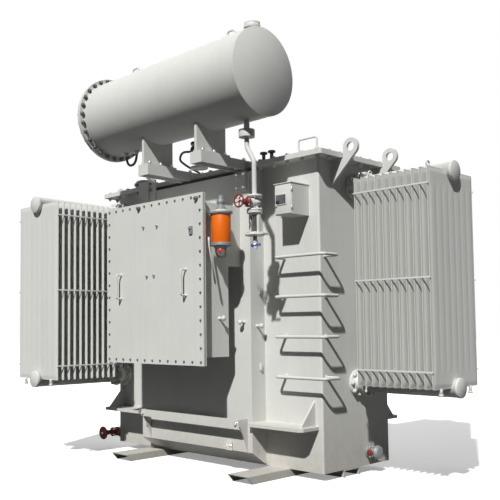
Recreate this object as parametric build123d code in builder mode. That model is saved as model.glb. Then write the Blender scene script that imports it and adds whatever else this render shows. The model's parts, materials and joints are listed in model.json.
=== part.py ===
"""Oil-filled electrical transformer with a conservator, a cable box and plate radiators.

Frame: millimetres, +Z up, +X along the long front side to the viewer's right, +Y towards the rear.
The front, with the cable box, faces -Y. The origin is on the ground under the middle of the tank.
The radiators stand in a half-turn symmetry about the vertical axis through that origin.
"""

from build123d import *
import math
import os

os.makedirs("parts", exist_ok=True)

# Skids under the tank
SKID_HEIGHT = 48.0
SKID_WIDTH = 167.0
SKID_WALL = 8.0
SKID_GAUGE = 1185.0
SKID_SHIFT = 82.0
SKID_REACH = 400.0
CROSS_CHANNEL_Y = -70.0

# Tank, flange and cover
TANK_LENGTH = 2050.0
TANK_DEPTH = 720.0
TANK_HEIGHT = 1968.0
TANK_WALL = 8.0
TANK_CORNER = 12.0
FLANGE_THICK = 16.0
COVER_THICK = 16.0
OVERHANG = 90.0
COVER_CORNER = 18.0
BAY_LENGTH = 1120.0
BAY_DEPTH = 136.0
BAY_FOOT = 92.0
BAY_TOP_DROP = 36.0

# Jacking pads in the four recesses beside the bays
PAD_TOP = 286.0
PAD_THICK = 20.0
PAD_DEPTH = 180.0
PAD_END_GAP = 30.0
PAD_CORNER = 25.0
GUSSET_THICK = 14.0
GUSSET_RISE = 160.0
GUSSET_INSET = 32.0

# Lifting lugs on the end walls
LUG_THICK = 20.0
LUG_HOLE_R = 28.0
LUG_R = 56.0
LUG_REACH = 152.0
LUG_RISE = 30.0
LUG_WELD = 166.0
LUG_INSET = 140.0
LUG_COVER_GAP = 6.0

# Cable box on the front bay
BOX_SHIFT = 26.0
BOX_WIDTH = 891.0
BOX_DEPTH = 261.0
BOX_HEIGHT = 990.0
BOX_FOOT = 715.0
BOX_STANDOFF = 118.0
BOX_RIM = 50.0
BOX_RIM_THICK = 12.0
BOX_COVER_THICK = 12.0
THROAT_HEIGHT = 400.0
HANDLE_SPACING = 672.0
HANDLE_HEIGHT = 165.0
HANDLE_REACH = 45.0
HANDLE_R = 6.0
HANDLE_FOOT = 395.0

# Haulage beam under the cable box
BEAM_LENGTH = 990.0
BEAM_HEIGHT = 48.0
BEAM_THICK = 14.0
BEAM_OFFSET = 90.0
BEAM_TOP = 310.0
BRACKET_THICK = 12.0
BRACKET_FOOT = 96.0
BRACKET_HOLLOW = 0.68

# Conservator above the front edge of the cover
CONS_R = 272.0
CONS_LENGTH = 1510.0
CONS_RIGHT_INSET = 90.0
CONS_AXIS_AHEAD = 400.0
CONS_AXIS_ABOVE_COVER = 450.0
CONS_END_RECESS = 8.0
CONS_RIM = 10.0
CONS_FLANGE_R = 306.0
CONS_FLANGE_THICK = 14.0
CONS_COVER_THICK = 16.0
SADDLE_RIGHT = 560.0
SADDLE_PITCH = 527.0
SADDLE_THICK = 22.0
SADDLE_HALF = 130.0
BRACKET_LENGTH = 560.0
BRACKET_PLATE = 12.0
BRACKET_WEB = 52.0
RIB_THICK = 10.0
SADDLE_BASE_WIDTH = 104.0
SADDLE_BASE_THICK = 12.0
SADDLE_GAP = 0.3
STAY_PLATE_OUT = 524.0
STAY_PLATE_WIDTH = 115.0
STAY_POST_OUT = 368.0
STAY_POST_WIDTH = 40.0
STAY_THICK = 12.0
STAY_RISE = 14.0
LOOP_INSET = 272.0
LOOP_PITCH = 962.0
LOOP_WIDTH = 62.0
LOOP_HEIGHT = 58.0
LOOP_R = 7.0
CABLE_OUT = 230.0
CABLE_WIDTH = 120.0
CABLE_DROP = 95.0
CABLE_R = 9.0
FILLER_R = 50.0
FILLER_HEIGHT = 36.0
FILLER_NECK = 16.0
FILLER_INSET = 90.0

# Oil pipe with gas relay
RELAY_SHARE = 0.42
RELAY_SIZE = 120.0
RELAY_R = 60.0
RELAY_FLANGE = 14.0
OIL_PIPE_R = 28.0
OIL_FLANGE_R = 60.0
OIL_FLANGE_THICK = 14.0

# Conservator drain
DRAIN_INSET = 146.0
DRAIN_PIPE_R = 15.0
DRAIN_OFFSET = 58.0
UNION_R = 50.0
UNION_HEIGHT = 46.0
VALVE_FLANGE_R = 48.0
VALVE_FLANGE_THICK = 14.0
VALVE_BODY_R = 24.0
VALVE_HEIGHT = 100.0
VALVE_TOP_BELOW_COVER = 294.0
SIGHT_HEIGHT = 150.0
SIGHT_FLANGE_R = 60.0
WHEEL_R = 42.0
WHEEL_RIM = 5.0
WHEEL_HUB_R = 11.0
WHEEL_HUB_LENGTH = 16.0
SPINDLE_R = 6.0
SPINDLE_LENGTH = 150.0
RUNNING_GAP = 0.08

# Breather
BREATHER_R = 62.0
BREATHER_HEIGHT = 195.0
BREATHER_SIDE_GAP = 38.0
BREATHER_BACK = 100.0
BREATHER_TOP_BELOW_COVER = 379.0
BREATHER_CAP_R = 74.0
BREATHER_CAP_HEIGHT = 14.0
BREATHER_CUP_R = 40.0
BREATHER_CUP_HEIGHT = 70.0

# Instrument box and step rungs at the right front corner
INSTRUMENT_INSET = 78.0
INSTRUMENT_WIDTH = 138.0
INSTRUMENT_DEPTH = 167.0
INSTRUMENT_HEIGHT = 195.0
INSTRUMENT_FOOT = 1605.0
RUNG_R = 10.0
RUNG_OFFSET = 105.0
RUNG_FRONT = 285.0
RUNG_SIDE = 45.0
RUNG_FOOT = 588.0
RUNG_PITCH = 253.0
RUNG_COUNT = 4
RUNG_BEND = 25.0

# Plate radiators
PANEL_WIDTH = 520.0
PANEL_HEIGHT = 1280.0
PANEL_FOOT = 540.0
PANEL_THICK = 16.0
PANEL_PITCH = 50.0
PANEL_COUNT = 11
PANEL_CORNER = 30.0
HEADER_R = 57.0
HEADER_END = 30.0
END_RADIATOR_GAP = 188.0
SIDE_RADIATOR_GAP = 300.0
SIDE_RADIATOR_INSET = 87.0
PORT_FLANGE_R = 85.0
PORT_FLANGE_THICK = 18.0
PORT_R = 45.0
PORT_LENGTH = 110.0
STRAP_WIDTH = 22.0
STRAP_THICK = 6.0
STRAP_PITCH = 540.0

# Fittings on the cover
BAIL_WIDTH = 145.0
BAIL_HEIGHT = 95.0
BAIL_R = 6.0
BAIL_INSET = 8.0
BAIL_AHEAD = 20.0
RELIEF_R = 85.0
RELIEF_HEIGHT = 50.0
RELIEF_STEM_R = 35.0
RELIEF_STEM = 40.0
RELIEF_X = -765.0
POCKET_INSET = 420.0
POCKET_PITCH = 70.0

# Drain valve low on the left end
DRAIN_VALVE_Z = 62.0
DRAIN_VALVE_Y = 50.0
DRAIN_VALVE_OUT = 100.0
DRAIN_WHEEL_R = 52.0
DRAIN_STEM = 150.0
SAMPLE_INSET = 480.0
SAMPLE_Z = 87.0
SAMPLE_FLANGE_R = 44.0
CLAMP_OUT = 330.0
CLAMP_SIZE = 56.0
CLAMP_THICK = 12.0

# Places worked out from the sizes above
floor_z = SKID_HEIGHT
wall_top_z = floor_z + TANK_HEIGHT
flange_top_z = wall_top_z + FLANGE_THICK
cover_top_z = flange_top_z + COVER_THICK
right_x = TANK_LENGTH / 2
front_y = -TANK_DEPTH / 2
bay_y = front_y - BAY_DEPTH
box_x = BOX_SHIFT
box_back_y = bay_y - BOX_STANDOFF
box_front_y = box_back_y - BOX_DEPTH
box_face_y = box_front_y - BOX_COVER_THICK
box_foot_z = floor_z + BOX_FOOT
box_top_z = box_foot_z + BOX_HEIGHT
cons_y = front_y - CONS_AXIS_AHEAD
cons_z = cover_top_z + CONS_AXIS_ABOVE_COVER
cons_right_x = right_x - CONS_RIGHT_INSET
cons_left_x = cons_right_x - CONS_LENGTH


def save(piece, name):
    """Labels a finished piece and writes it as one node."""
    piece.part.label = name
    export_step(piece.part, f"parts/{name}.step")


def box_between(low, high):
    """Adds a block between two corners to the part being built."""
    size = [b - a for a, b in zip(low, high)]
    with Locations(tuple((a + b) / 2 for a, b in zip(low, high))):
        Box(*size)


# Tank: a welded shell, with a folded bay on each long side that stands out past the cover's edge
def bay_profile(side, inset):
    """Section of a bay across the tank: out from the wall at its foot, up, and back under the flange."""
    wall = side * TANK_DEPTH / 2
    face = side * (TANK_DEPTH / 2 + BAY_DEPTH - inset)
    slope = inset * BAY_FOOT / BAY_DEPTH
    Polyline(
        (wall, floor_z + 2 * slope),
        (face, floor_z + BAY_FOOT + slope),
        (face, wall_top_z - BAY_TOP_DROP - inset),
        (wall, wall_top_z - inset),
        close=True,
    )


with BuildPart() as tank_body:
    with BuildSketch(Plane.XY.offset(floor_z)):
        RectangleRounded(TANK_LENGTH, TANK_DEPTH, TANK_CORNER)
    extrude(amount=TANK_HEIGHT)
    with BuildSketch(Plane.XY.offset(floor_z + TANK_WALL)):
        RectangleRounded(TANK_LENGTH - 2 * TANK_WALL, TANK_DEPTH - 2 * TANK_WALL, TANK_CORNER)
    extrude(amount=TANK_HEIGHT, mode=Mode.SUBTRACT)
save(tank_body, "tank_body")

for name, side in (("tank_bay_front", -1), ("tank_bay_rear", 1)):
    with BuildPart() as tank_bay:
        with BuildSketch(Plane.YZ):
            with BuildLine():
                bay_profile(side, 0)
            make_face()
        extrude(amount=BAY_LENGTH / 2, both=True)
        with BuildSketch(Plane.YZ):
            with BuildLine():
                bay_profile(side, TANK_WALL)
            make_face()
        extrude(amount=BAY_LENGTH / 2 - TANK_WALL, both=True, mode=Mode.SUBTRACT)
    save(tank_bay, name)

with BuildPart() as tank_flange:
    with BuildSketch(Plane.XY.offset(wall_top_z)):
        RectangleRounded(TANK_LENGTH + 2 * OVERHANG, TANK_DEPTH + 2 * OVERHANG, COVER_CORNER)
        RectangleRounded(
            TANK_LENGTH - 2 * TANK_WALL, TANK_DEPTH - 2 * TANK_WALL, TANK_CORNER, mode=Mode.SUBTRACT
        )
    extrude(amount=FLANGE_THICK)
save(tank_flange, "tank_flange")

with BuildPart() as tank_cover:
    with BuildSketch(Plane.XY.offset(flange_top_z)):
        RectangleRounded(TANK_LENGTH + 2 * OVERHANG, TANK_DEPTH + 2 * OVERHANG, COVER_CORNER)
    extrude(amount=COVER_THICK)
save(tank_cover, "tank_cover")


# Skids: channels with their open side down and their noses cut back at 45 degrees
skid_half = TANK_DEPTH / 2 + SKID_REACH
for name, skid_x in (
    ("skid_left", SKID_SHIFT - SKID_GAUGE / 2),
    ("skid_right", SKID_SHIFT + SKID_GAUGE / 2),
):
    with BuildPart() as skid:
        with BuildSketch(Plane.YZ.offset(skid_x)):
            with BuildLine():
                Polyline(
                    (-skid_half, SKID_HEIGHT),
                    (-skid_half + SKID_HEIGHT, 0),
                    (skid_half - SKID_HEIGHT, 0),
                    (skid_half, SKID_HEIGHT),
                    close=True,
                )
            make_face()
        extrude(amount=SKID_WIDTH / 2, both=True)
        with Locations((skid_x, 0, (SKID_HEIGHT - SKID_WALL) / 2)):
            Box(
                SKID_WIDTH - 2 * SKID_WALL, 2 * skid_half, SKID_HEIGHT - SKID_WALL, mode=Mode.SUBTRACT
            )
    save(skid, name)

skid_edges = sorted(
    SKID_SHIFT + side * SKID_GAUGE / 2 + flank * SKID_WIDTH / 2 for side in (-1, 1) for flank in (-1, 1)
)
cross_spans = (
    (-right_x, skid_edges[0]),
    (skid_edges[1], skid_edges[2]),
    (skid_edges[3], right_x),
)
with BuildPart() as cross_channel:
    for start, end in cross_spans:
        box_between(
            (start, CROSS_CHANNEL_Y - SKID_WIDTH / 2, 0),
            (end, CROSS_CHANNEL_Y + SKID_WIDTH / 2, SKID_HEIGHT),
        )
    with Locations((0, CROSS_CHANNEL_Y, (SKID_HEIGHT - SKID_WALL) / 2)):
        Box(
            TANK_LENGTH, SKID_WIDTH - 2 * SKID_WALL, SKID_HEIGHT - SKID_WALL, mode=Mode.SUBTRACT
        )
save(cross_channel, "cross_channel")


# Jacking pads: a plate across each recess, with a gusset up the wall near the tank's end
pad_inner_x = BAY_LENGTH / 2
pad_outer_x = right_x - PAD_END_GAP
pad_z = floor_z + PAD_TOP
with BuildPart() as jacking_pads:
    for end in (-1, 1):
        for face in (-1, 1):
            wall_y = face * TANK_DEPTH / 2
            out_y = face * (TANK_DEPTH / 2 + PAD_DEPTH)
            with BuildSketch(Plane.XY.offset(pad_z - PAD_THICK)):
                with BuildLine():
                    Polyline(
                        (end * pad_inner_x, wall_y),
                        (end * pad_inner_x, out_y),
                        (end * (pad_outer_x - PAD_CORNER), out_y),
                        (end * pad_outer_x, out_y - face * PAD_CORNER),
                        (end * pad_outer_x, wall_y),
                        close=True,
                    )
                make_face()
            extrude(amount=PAD_THICK)
            with BuildSketch(Plane.YZ.offset(end * (pad_outer_x - GUSSET_INSET))):
                with BuildLine():
                    Polyline(
                        (wall_y, pad_z),
                        (face * (TANK_DEPTH / 2 + PAD_DEPTH * 0.8), pad_z),
                        (wall_y, pad_z + GUSSET_RISE),
                        close=True,
                    )
                make_face()
            extrude(amount=GUSSET_THICK / 2, both=True)
save(jacking_pads, "jacking_pads")


# Lifting lugs: plates welded up the end walls that reach out past the cover's edge
lug_eye_z = cover_top_z + LUG_RISE
for end_name, end in (("left", -1), ("right", 1)):
    with BuildPart() as lifting_lugs:
        for face in (-1, 1):
            lug_y = face * (TANK_DEPTH / 2 - LUG_INSET)
            eye = (end * (right_x + LUG_REACH), lug_eye_z)
            neck_x = right_x + OVERHANG + LUG_COVER_GAP
            with BuildSketch(Plane.XZ.offset(-lug_y)):
                with BuildLine():
                    Polyline(
                        (end * right_x, wall_top_z - LUG_COVER_GAP),
                        (end * right_x, wall_top_z - LUG_WELD),
                        (end * (right_x + LUG_REACH + LUG_R * 0.8), lug_eye_z - LUG_R * 0.6),
                        (end * (right_x + LUG_REACH), lug_eye_z),
                        (end * neck_x, lug_eye_z),
                        (end * neck_x, wall_top_z - LUG_COVER_GAP),
                        close=True,
                    )
                make_face()
                with Locations(eye):
                    Circle(LUG_R)
                    Circle(LUG_HOLE_R, mode=Mode.SUBTRACT)
            extrude(amount=LUG_THICK / 2, both=True)
    save(lifting_lugs, f"lifting_lugs_{end_name}")


# Cable box: a welded box with its throat on the bay, a rim flange and a bolted cover plate
with BuildPart() as cable_box_body:
    box_between(
        (box_x - BOX_WIDTH / 2, box_front_y + BOX_RIM_THICK, box_foot_z),
        (box_x + BOX_WIDTH / 2, box_back_y, box_top_z),
    )
    box_between(
        (box_x - BOX_WIDTH / 2, box_back_y, box_top_z - THROAT_HEIGHT),
        (box_x + BOX_WIDTH / 2, bay_y, box_top_z),
    )
    box_between(
        (box_x - BOX_WIDTH / 2 - BOX_RIM, box_front_y, box_foot_z - BOX_RIM),
        (box_x + BOX_WIDTH / 2 + BOX_RIM, box_front_y + BOX_RIM_THICK, box_top_z + BOX_RIM),
    )
save(cable_box_body, "cable_box_body")

with BuildPart() as cable_box_cover:
    box_between(
        (box_x - BOX_WIDTH / 2 - BOX_RIM, box_face_y, box_foot_z - BOX_RIM),
        (box_x + BOX_WIDTH / 2 + BOX_RIM, box_front_y, box_top_z + BOX_RIM),
    )
save(cable_box_cover, "cable_box_cover")


def bent_rod(start, end, rise, rod_r, bend_r=None):
    """Adds a rod bent into a handle, with its feet at start and end, standing off along rise."""
    a, b, up = Vector(*start), Vector(*end), Vector(*rise)
    with BuildLine() as path:
        FilletPolyline(a, a + up, b + up, b, radius=bend_r or 2.5 * rod_r)
    with BuildSketch(Plane(origin=a, z_dir=up)) as section:
        Circle(rod_r)
    sweep(section.sketch, path=path.line)


handle_z = box_foot_z + HANDLE_FOOT
with BuildPart() as cable_box_handles:
    for side in (-1, 1):
        handle_x = box_x + side * HANDLE_SPACING / 2
        bent_rod(
            (handle_x, box_face_y, handle_z),
            (handle_x, box_face_y, handle_z + HANDLE_HEIGHT),
            (0, -HANDLE_REACH, 0),
            HANDLE_R,
        )
save(cable_box_handles, "cable_box_handles")


# Haulage beam: a bar on two tapered brackets that stand on the bay
beam_top_z = floor_z + BEAM_TOP
beam_face_y = bay_y - BEAM_OFFSET
with BuildPart() as haulage_beam:
    box_between(
        (box_x - BEAM_LENGTH / 2, beam_face_y, beam_top_z - BEAM_HEIGHT),
        (box_x + BEAM_LENGTH / 2, beam_face_y + BEAM_THICK, beam_top_z),
    )
save(haulage_beam, "haulage_beam")
for name, side in (("beam_bracket_left", -1), ("beam_bracket_right", 1)):
    with BuildPart() as beam_bracket:
        inner_x = box_x + side * (BEAM_LENGTH / 2 - BRACKET_THICK)
        with BuildSketch(Plane.YZ.offset(inner_x)):
            with BuildLine():
                beam_back_y = beam_face_y + BEAM_THICK
                Polyline(
                    (bay_y, floor_z + BRACKET_FOOT),
                    (bay_y, beam_top_z),
                    (beam_back_y, beam_top_z),
                    (beam_back_y, beam_top_z - BEAM_HEIGHT),
                )
                ThreePointArc(
                    (beam_back_y, beam_top_z - BEAM_HEIGHT),
                    (
                        beam_back_y + (bay_y - beam_back_y) * BRACKET_HOLLOW,
                        floor_z + BRACKET_FOOT + (BEAM_TOP - BEAM_HEIGHT - BRACKET_FOOT) * 0.45,
                    ),
                    (bay_y, floor_z + BRACKET_FOOT),
                )
            make_face()
        extrude(amount=side * BRACKET_THICK)
    save(beam_bracket, name)


# Conservator: a horizontal cylinder with a welded right end and a bolted left end
with BuildPart() as conservator_shell:
    with BuildSketch(Plane.XZ.offset(-cons_y)):
        with BuildLine():
            rim_r = CONS_R - CONS_RIM
            Polyline(
                (cons_left_x, cons_z),
                (cons_left_x, cons_z + CONS_FLANGE_R),
                (cons_left_x + CONS_FLANGE_THICK, cons_z + CONS_FLANGE_R),
                (cons_left_x + CONS_FLANGE_THICK, cons_z + CONS_R),
                (cons_right_x, cons_z + CONS_R),
                (cons_right_x, cons_z + rim_r),
                (cons_right_x - CONS_END_RECESS, cons_z + rim_r),
                (cons_right_x - CONS_END_RECESS, cons_z),
                close=True,
            )
        make_face()
    revolve(axis=Axis((0, cons_y, cons_z), (1, 0, 0)))
save(conservator_shell, "conservator_shell")

with BuildPart() as conservator_end_cover:
    with BuildSketch(Plane.YZ.offset(cons_left_x - CONS_COVER_THICK)):
        with Locations((cons_y, cons_z)):
            Circle(CONS_FLANGE_R)
    extrude(amount=CONS_COVER_THICK)
save(conservator_end_cover, "conservator_end_cover")

with BuildPart() as filler_cap:
    filler_x = cons_right_x - FILLER_INSET
    with Locations((filler_x, cons_y, cons_z + CONS_R + FILLER_NECK + FILLER_HEIGHT / 2)):
        Cylinder(FILLER_R, FILLER_HEIGHT)
    with Locations((filler_x, cons_y, cons_z + CONS_R)):
        Cylinder(FILLER_R * 0.8, 2 * FILLER_NECK)
    with Locations(Location((filler_x, cons_y, cons_z), (0, 90, 0))):
        Cylinder(CONS_R + SADDLE_GAP, 4 * FILLER_R, mode=Mode.SUBTRACT)
save(filler_cap, "filler_cap")

# Saddles: plate cradles on base plates, bolted to brackets that reach out from the cover
base_front_y = cons_y - SADDLE_HALF
base_back_y = base_front_y + BRACKET_LENGTH
bracket_top_z = cover_top_z + BRACKET_PLATE
saddle_base_z = bracket_top_z + SADDLE_BASE_THICK
saddle_right_x = right_x - SADDLE_RIGHT
saddle_left_x = saddle_right_x - SADDLE_PITCH
for side_name, saddle_x in (("right", saddle_right_x), ("left", saddle_left_x)):
    with BuildPart() as saddle:
        box_between(
            (saddle_x - SADDLE_THICK / 2, base_front_y, saddle_base_z),
            (saddle_x + SADDLE_THICK / 2, cons_y + SADDLE_HALF, cons_z - CONS_R * 0.6),
        )
        with Locations(Location((saddle_x, cons_y, cons_z), (0, 90, 0))):
            Cylinder(CONS_R + SADDLE_GAP, 3 * SADDLE_BASE_WIDTH, mode=Mode.SUBTRACT)
        box_between(
            (saddle_x - SADDLE_BASE_WIDTH / 2, base_front_y, bracket_top_z),
            (saddle_x + SADDLE_BASE_WIDTH / 2, cons_y + SADDLE_HALF, saddle_base_z),
        )
    save(saddle, f"conservator_saddle_{side_name}")
    with BuildPart() as bracket:
        box_between(
            (saddle_x - SADDLE_BASE_WIDTH / 2, base_front_y, cover_top_z),
            (saddle_x + SADDLE_BASE_WIDTH / 2, base_back_y, bracket_top_z),
        )
        for web_side in (-1, 1):
            web_x = saddle_x + web_side * (SADDLE_BASE_WIDTH / 2 - RIB_THICK / 2)
            box_between(
                (web_x - RIB_THICK / 2, base_front_y, cover_top_z - BRACKET_WEB),
                (web_x + RIB_THICK / 2, bay_y, cover_top_z),
            )
        box_between(
            (saddle_x - SADDLE_BASE_WIDTH / 2, base_front_y, cover_top_z - BRACKET_WEB),
            (saddle_x + SADDLE_BASE_WIDTH / 2, base_front_y + RIB_THICK, cover_top_z),
        )
    save(bracket, f"conservator_bracket_{side_name}")

# Stay: two upright plates on the bay, and a strut from one of them to the left bracket's nose
plate_left_x = saddle_left_x - STAY_PLATE_OUT
post_x = saddle_left_x - STAY_POST_OUT
nose_x = saddle_left_x - SADDLE_BASE_WIDTH / 2
with BuildPart() as conservator_stay:
    box_between(
        (plate_left_x, bay_y - STAY_THICK, box_top_z),
        (plate_left_x + STAY_PLATE_WIDTH, bay_y, cover_top_z + STAY_RISE),
    )
    box_between(
        (post_x, bay_y - STAY_THICK, box_top_z),
        (post_x + STAY_POST_WIDTH, bay_y, cover_top_z + STAY_RISE),
    )
    with BuildSketch(Plane.XY.offset(cover_top_z - STAY_RISE)):
        with BuildLine():
            Polyline(
                (post_x, bay_y - STAY_THICK),
                (post_x + STAY_POST_WIDTH, bay_y - STAY_THICK),
                (nose_x, base_front_y + STAY_POST_WIDTH),
                (nose_x, base_front_y + STAY_THICK),
                close=True,
            )
        make_face()
    extrude(amount=2 * STAY_RISE)
save(conservator_stay, "conservator_stay")

# Lifting loops on top of the conservator
with BuildPart() as conservator_loops:
    for loop_inset in (LOOP_INSET, LOOP_INSET + LOOP_PITCH):
        loop_x = cons_right_x - loop_inset
        bent_rod(
            (loop_x - LOOP_WIDTH / 2, cons_y, cons_z + CONS_R - LOOP_R),
            (loop_x + LOOP_WIDTH / 2, cons_y, cons_z + CONS_R - LOOP_R),
            (0, 0, LOOP_HEIGHT + LOOP_R),
            LOOP_R,
        )
    with Locations(Location((0, cons_y, cons_z), (0, 90, 0))):
        Cylinder(CONS_R + SADDLE_GAP, 2 * TANK_LENGTH, mode=Mode.SUBTRACT)
save(conservator_loops, "conservator_loops")

# Cable of the oil level gauge, in a hanging loop between two glands under the conservator
with BuildPart() as gauge_cable:
    bent_rod(
        (saddle_left_x - CABLE_OUT - CABLE_WIDTH, cons_y, cons_z - CONS_R + CABLE_R),
        (saddle_left_x - CABLE_OUT, cons_y, cons_z - CONS_R + CABLE_R),
        (0, 0, -CABLE_DROP),
        CABLE_R,
        CABLE_WIDTH * 0.45,
    )
    with Locations(Location((saddle_left_x - CABLE_OUT, cons_y, cons_z), (0, 90, 0))):
        Cylinder(CONS_R + SADDLE_GAP, 4 * CABLE_WIDTH, mode=Mode.SUBTRACT)
save(gauge_cable, "gauge_cable")


# Gas relay on the oil pipe that climbs from the cover to the conservator
relay_x = saddle_left_x + SADDLE_PITCH * RELAY_SHARE
relay_y = cons_y + CONS_R * 0.7
relay_bottom_z = cover_top_z + OIL_FLANGE_THICK + 50
with BuildPart() as gas_relay:
    relay_mid_z = relay_bottom_z + RELAY_SIZE / 2
    with Locations(Location((relay_x, relay_y, relay_mid_z), (90, 0, 0))):
        Cylinder(RELAY_SIZE * 0.42, RELAY_SIZE)
    for end_z in (relay_bottom_z + RELAY_FLANGE / 2, relay_bottom_z + RELAY_SIZE - RELAY_FLANGE / 2):
        with Locations((relay_x, relay_y, end_z)):
            Cylinder(RELAY_R, RELAY_FLANGE)
    with Locations((relay_x, relay_y, relay_mid_z)):
        Cylinder(RELAY_R * 0.7, RELAY_SIZE)
    with Locations((relay_x + RELAY_SIZE * 0.45, relay_y, relay_mid_z)):
        Box(RELAY_SIZE * 0.5, RELAY_SIZE * 0.6, RELAY_SIZE * 0.6)
save(gas_relay, "gas_relay")

with BuildPart() as oil_pipe:
    with Locations((relay_x, relay_y, (cover_top_z + relay_bottom_z) / 2)):
        Cylinder(OIL_PIPE_R, relay_bottom_z - cover_top_z)
    with Locations((relay_x, relay_y, cover_top_z + OIL_FLANGE_THICK / 2)):
        Cylinder(OIL_FLANGE_R, OIL_FLANGE_THICK)
    top_of_relay_z = relay_bottom_z + RELAY_SIZE
    with Locations((relay_x, relay_y, (top_of_relay_z + cons_z) / 2)):
        Cylinder(OIL_PIPE_R, cons_z - top_of_relay_z)
    with Locations(Location((relay_x, cons_y, cons_z), (0, 90, 0))):
        Cylinder(CONS_R + SADDLE_GAP, 6 * OIL_PIPE_R, mode=Mode.SUBTRACT)
save(oil_pipe, "oil_pipe")


# Conservator drain: a stub, an S-bent pipe, a gate valve, a sight glass and a cock
drain_x = cons_right_x - DRAIN_INSET
drop_x = drain_x + DRAIN_OFFSET
valve_top_z = cover_top_z - VALVE_TOP_BELOW_COVER
valve_foot_z = valve_top_z - VALVE_HEIGHT
valve_mid_z = (valve_top_z + valve_foot_z) / 2
stub_foot_z = cons_z - CONS_R - 60
with BuildPart() as drain_pipe:
    with BuildLine():
        FilletPolyline(
            (drain_x, cons_y, stub_foot_z - UNION_HEIGHT),
            (drain_x, cons_y, stub_foot_z - UNION_HEIGHT - 60),
            (drop_x, cons_y, stub_foot_z - UNION_HEIGHT - 160),
            (drop_x, cons_y, valve_top_z),
            radius=60,
        )
    with BuildSketch(Plane.XY.offset(stub_foot_z - UNION_HEIGHT)):
        with Locations((drain_x, cons_y)):
            Circle(DRAIN_PIPE_R)
    sweep()
    with Locations((drain_x, cons_y, stub_foot_z - UNION_HEIGHT / 2)):
        Cylinder(UNION_R, UNION_HEIGHT)
    with Locations((drain_x, cons_y, (stub_foot_z + cons_z) / 2)):
        Cylinder(DRAIN_PIPE_R + 3, cons_z - stub_foot_z)
    with Locations(Location((drain_x, cons_y, cons_z), (0, 90, 0))):
        Cylinder(CONS_R + SADDLE_GAP, 6 * DRAIN_PIPE_R, mode=Mode.SUBTRACT)
save(drain_pipe, "drain_pipe")

with BuildPart() as gate_valve:
    for flange_z in (valve_top_z - VALVE_FLANGE_THICK / 2, valve_foot_z + VALVE_FLANGE_THICK / 2):
        with Locations((drop_x, cons_y, flange_z)):
            Cylinder(VALVE_FLANGE_R, VALVE_FLANGE_THICK)
    with Locations((drop_x, cons_y, valve_mid_z)):
        Cylinder(VALVE_BODY_R, VALVE_HEIGHT)
    bonnet_y = cons_y - 90
    with Locations(Location((drop_x, (cons_y + bonnet_y) / 2, valve_mid_z), (90, 0, 0))):
        Cylinder(VALVE_BODY_R * 0.7, cons_y - bonnet_y)
    with Locations(Location((drop_x, cons_y - SPINDLE_LENGTH / 2, valve_mid_z), (90, 0, 0))):
        Cylinder(SPINDLE_R, SPINDLE_LENGTH)
save(gate_valve, "gate_valve")


def handwheel(centre, radius):
    """A rimmed wheel with four spokes whose hub slips over a spindle that comes from +Y."""
    x, y, z = centre
    with BuildPart() as wheel:
        with BuildSketch(Plane.XZ.offset(-y)):
            with Locations((x, z)):
                Circle(radius)
                Circle(radius - 2 * WHEEL_RIM, mode=Mode.SUBTRACT)
                Rectangle(2 * radius - WHEEL_RIM, 1.6 * WHEEL_RIM)
                Rectangle(1.6 * WHEEL_RIM, 2 * radius - WHEEL_RIM)
        extrude(amount=WHEEL_RIM, both=True)
        with Locations(Location((x, y, z), (90, 0, 0))):
            Cylinder(WHEEL_HUB_R, WHEEL_HUB_LENGTH)
            Cylinder(SPINDLE_R + RUNNING_GAP, 2 * WHEEL_HUB_LENGTH, mode=Mode.SUBTRACT)
    return wheel


wheel_y = cons_y - SPINDLE_LENGTH + WHEEL_HUB_LENGTH / 2 + 4
valve_handwheel = handwheel((drop_x, wheel_y, valve_mid_z), WHEEL_R)
save(valve_handwheel, "valve_handwheel")

sight_foot_z = valve_foot_z - SIGHT_HEIGHT
with BuildPart() as sight_glass:
    with Locations((drop_x, cons_y, valve_foot_z - 7)):
        Cylinder(VALVE_FLANGE_R, 14)
    with Locations((drop_x, cons_y, sight_foot_z + 7)):
        Cylinder(SIGHT_FLANGE_R, 14)
    with Locations((drop_x, cons_y, (valve_foot_z + sight_foot_z) / 2)):
        Cylinder(20, SIGHT_HEIGHT)
    for side in (-1, 1):
        with Locations((drop_x + side * 32, cons_y, (valve_foot_z + sight_foot_z) / 2)):
            Box(14, 20, SIGHT_HEIGHT)
save(sight_glass, "sight_glass")

cock_z = sight_foot_z - 60
with BuildPart() as drain_cock:
    with Locations((drop_x, cons_y, (sight_foot_z + cock_z - 20) / 2)):
        Cylinder(13, sight_foot_z - cock_z + 20)
    with Locations((drop_x, cons_y, cock_z + 16)):
        Cylinder(20, 24)
    with Locations(Location((drop_x, cons_y - 15, cock_z), (90, 0, 0))):
        Cylinder(SPINDLE_R, 30)
save(drain_cock, "drain_cock")

lever_y = cons_y - 25
with BuildPart() as cock_lever:
    with Locations(Location((drop_x, lever_y, cock_z), (90, 0, 0))):
        Cylinder(11, 8)
    with Locations((drop_x + 36, lever_y, cock_z)):
        Box(62, 5, 14)
    with Locations(Location((drop_x, lever_y, cock_z), (90, 0, 0))):
        Cylinder(SPINDLE_R + RUNNING_GAP, 30, mode=Mode.SUBTRACT)
save(cock_lever, "cock_lever")


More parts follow.
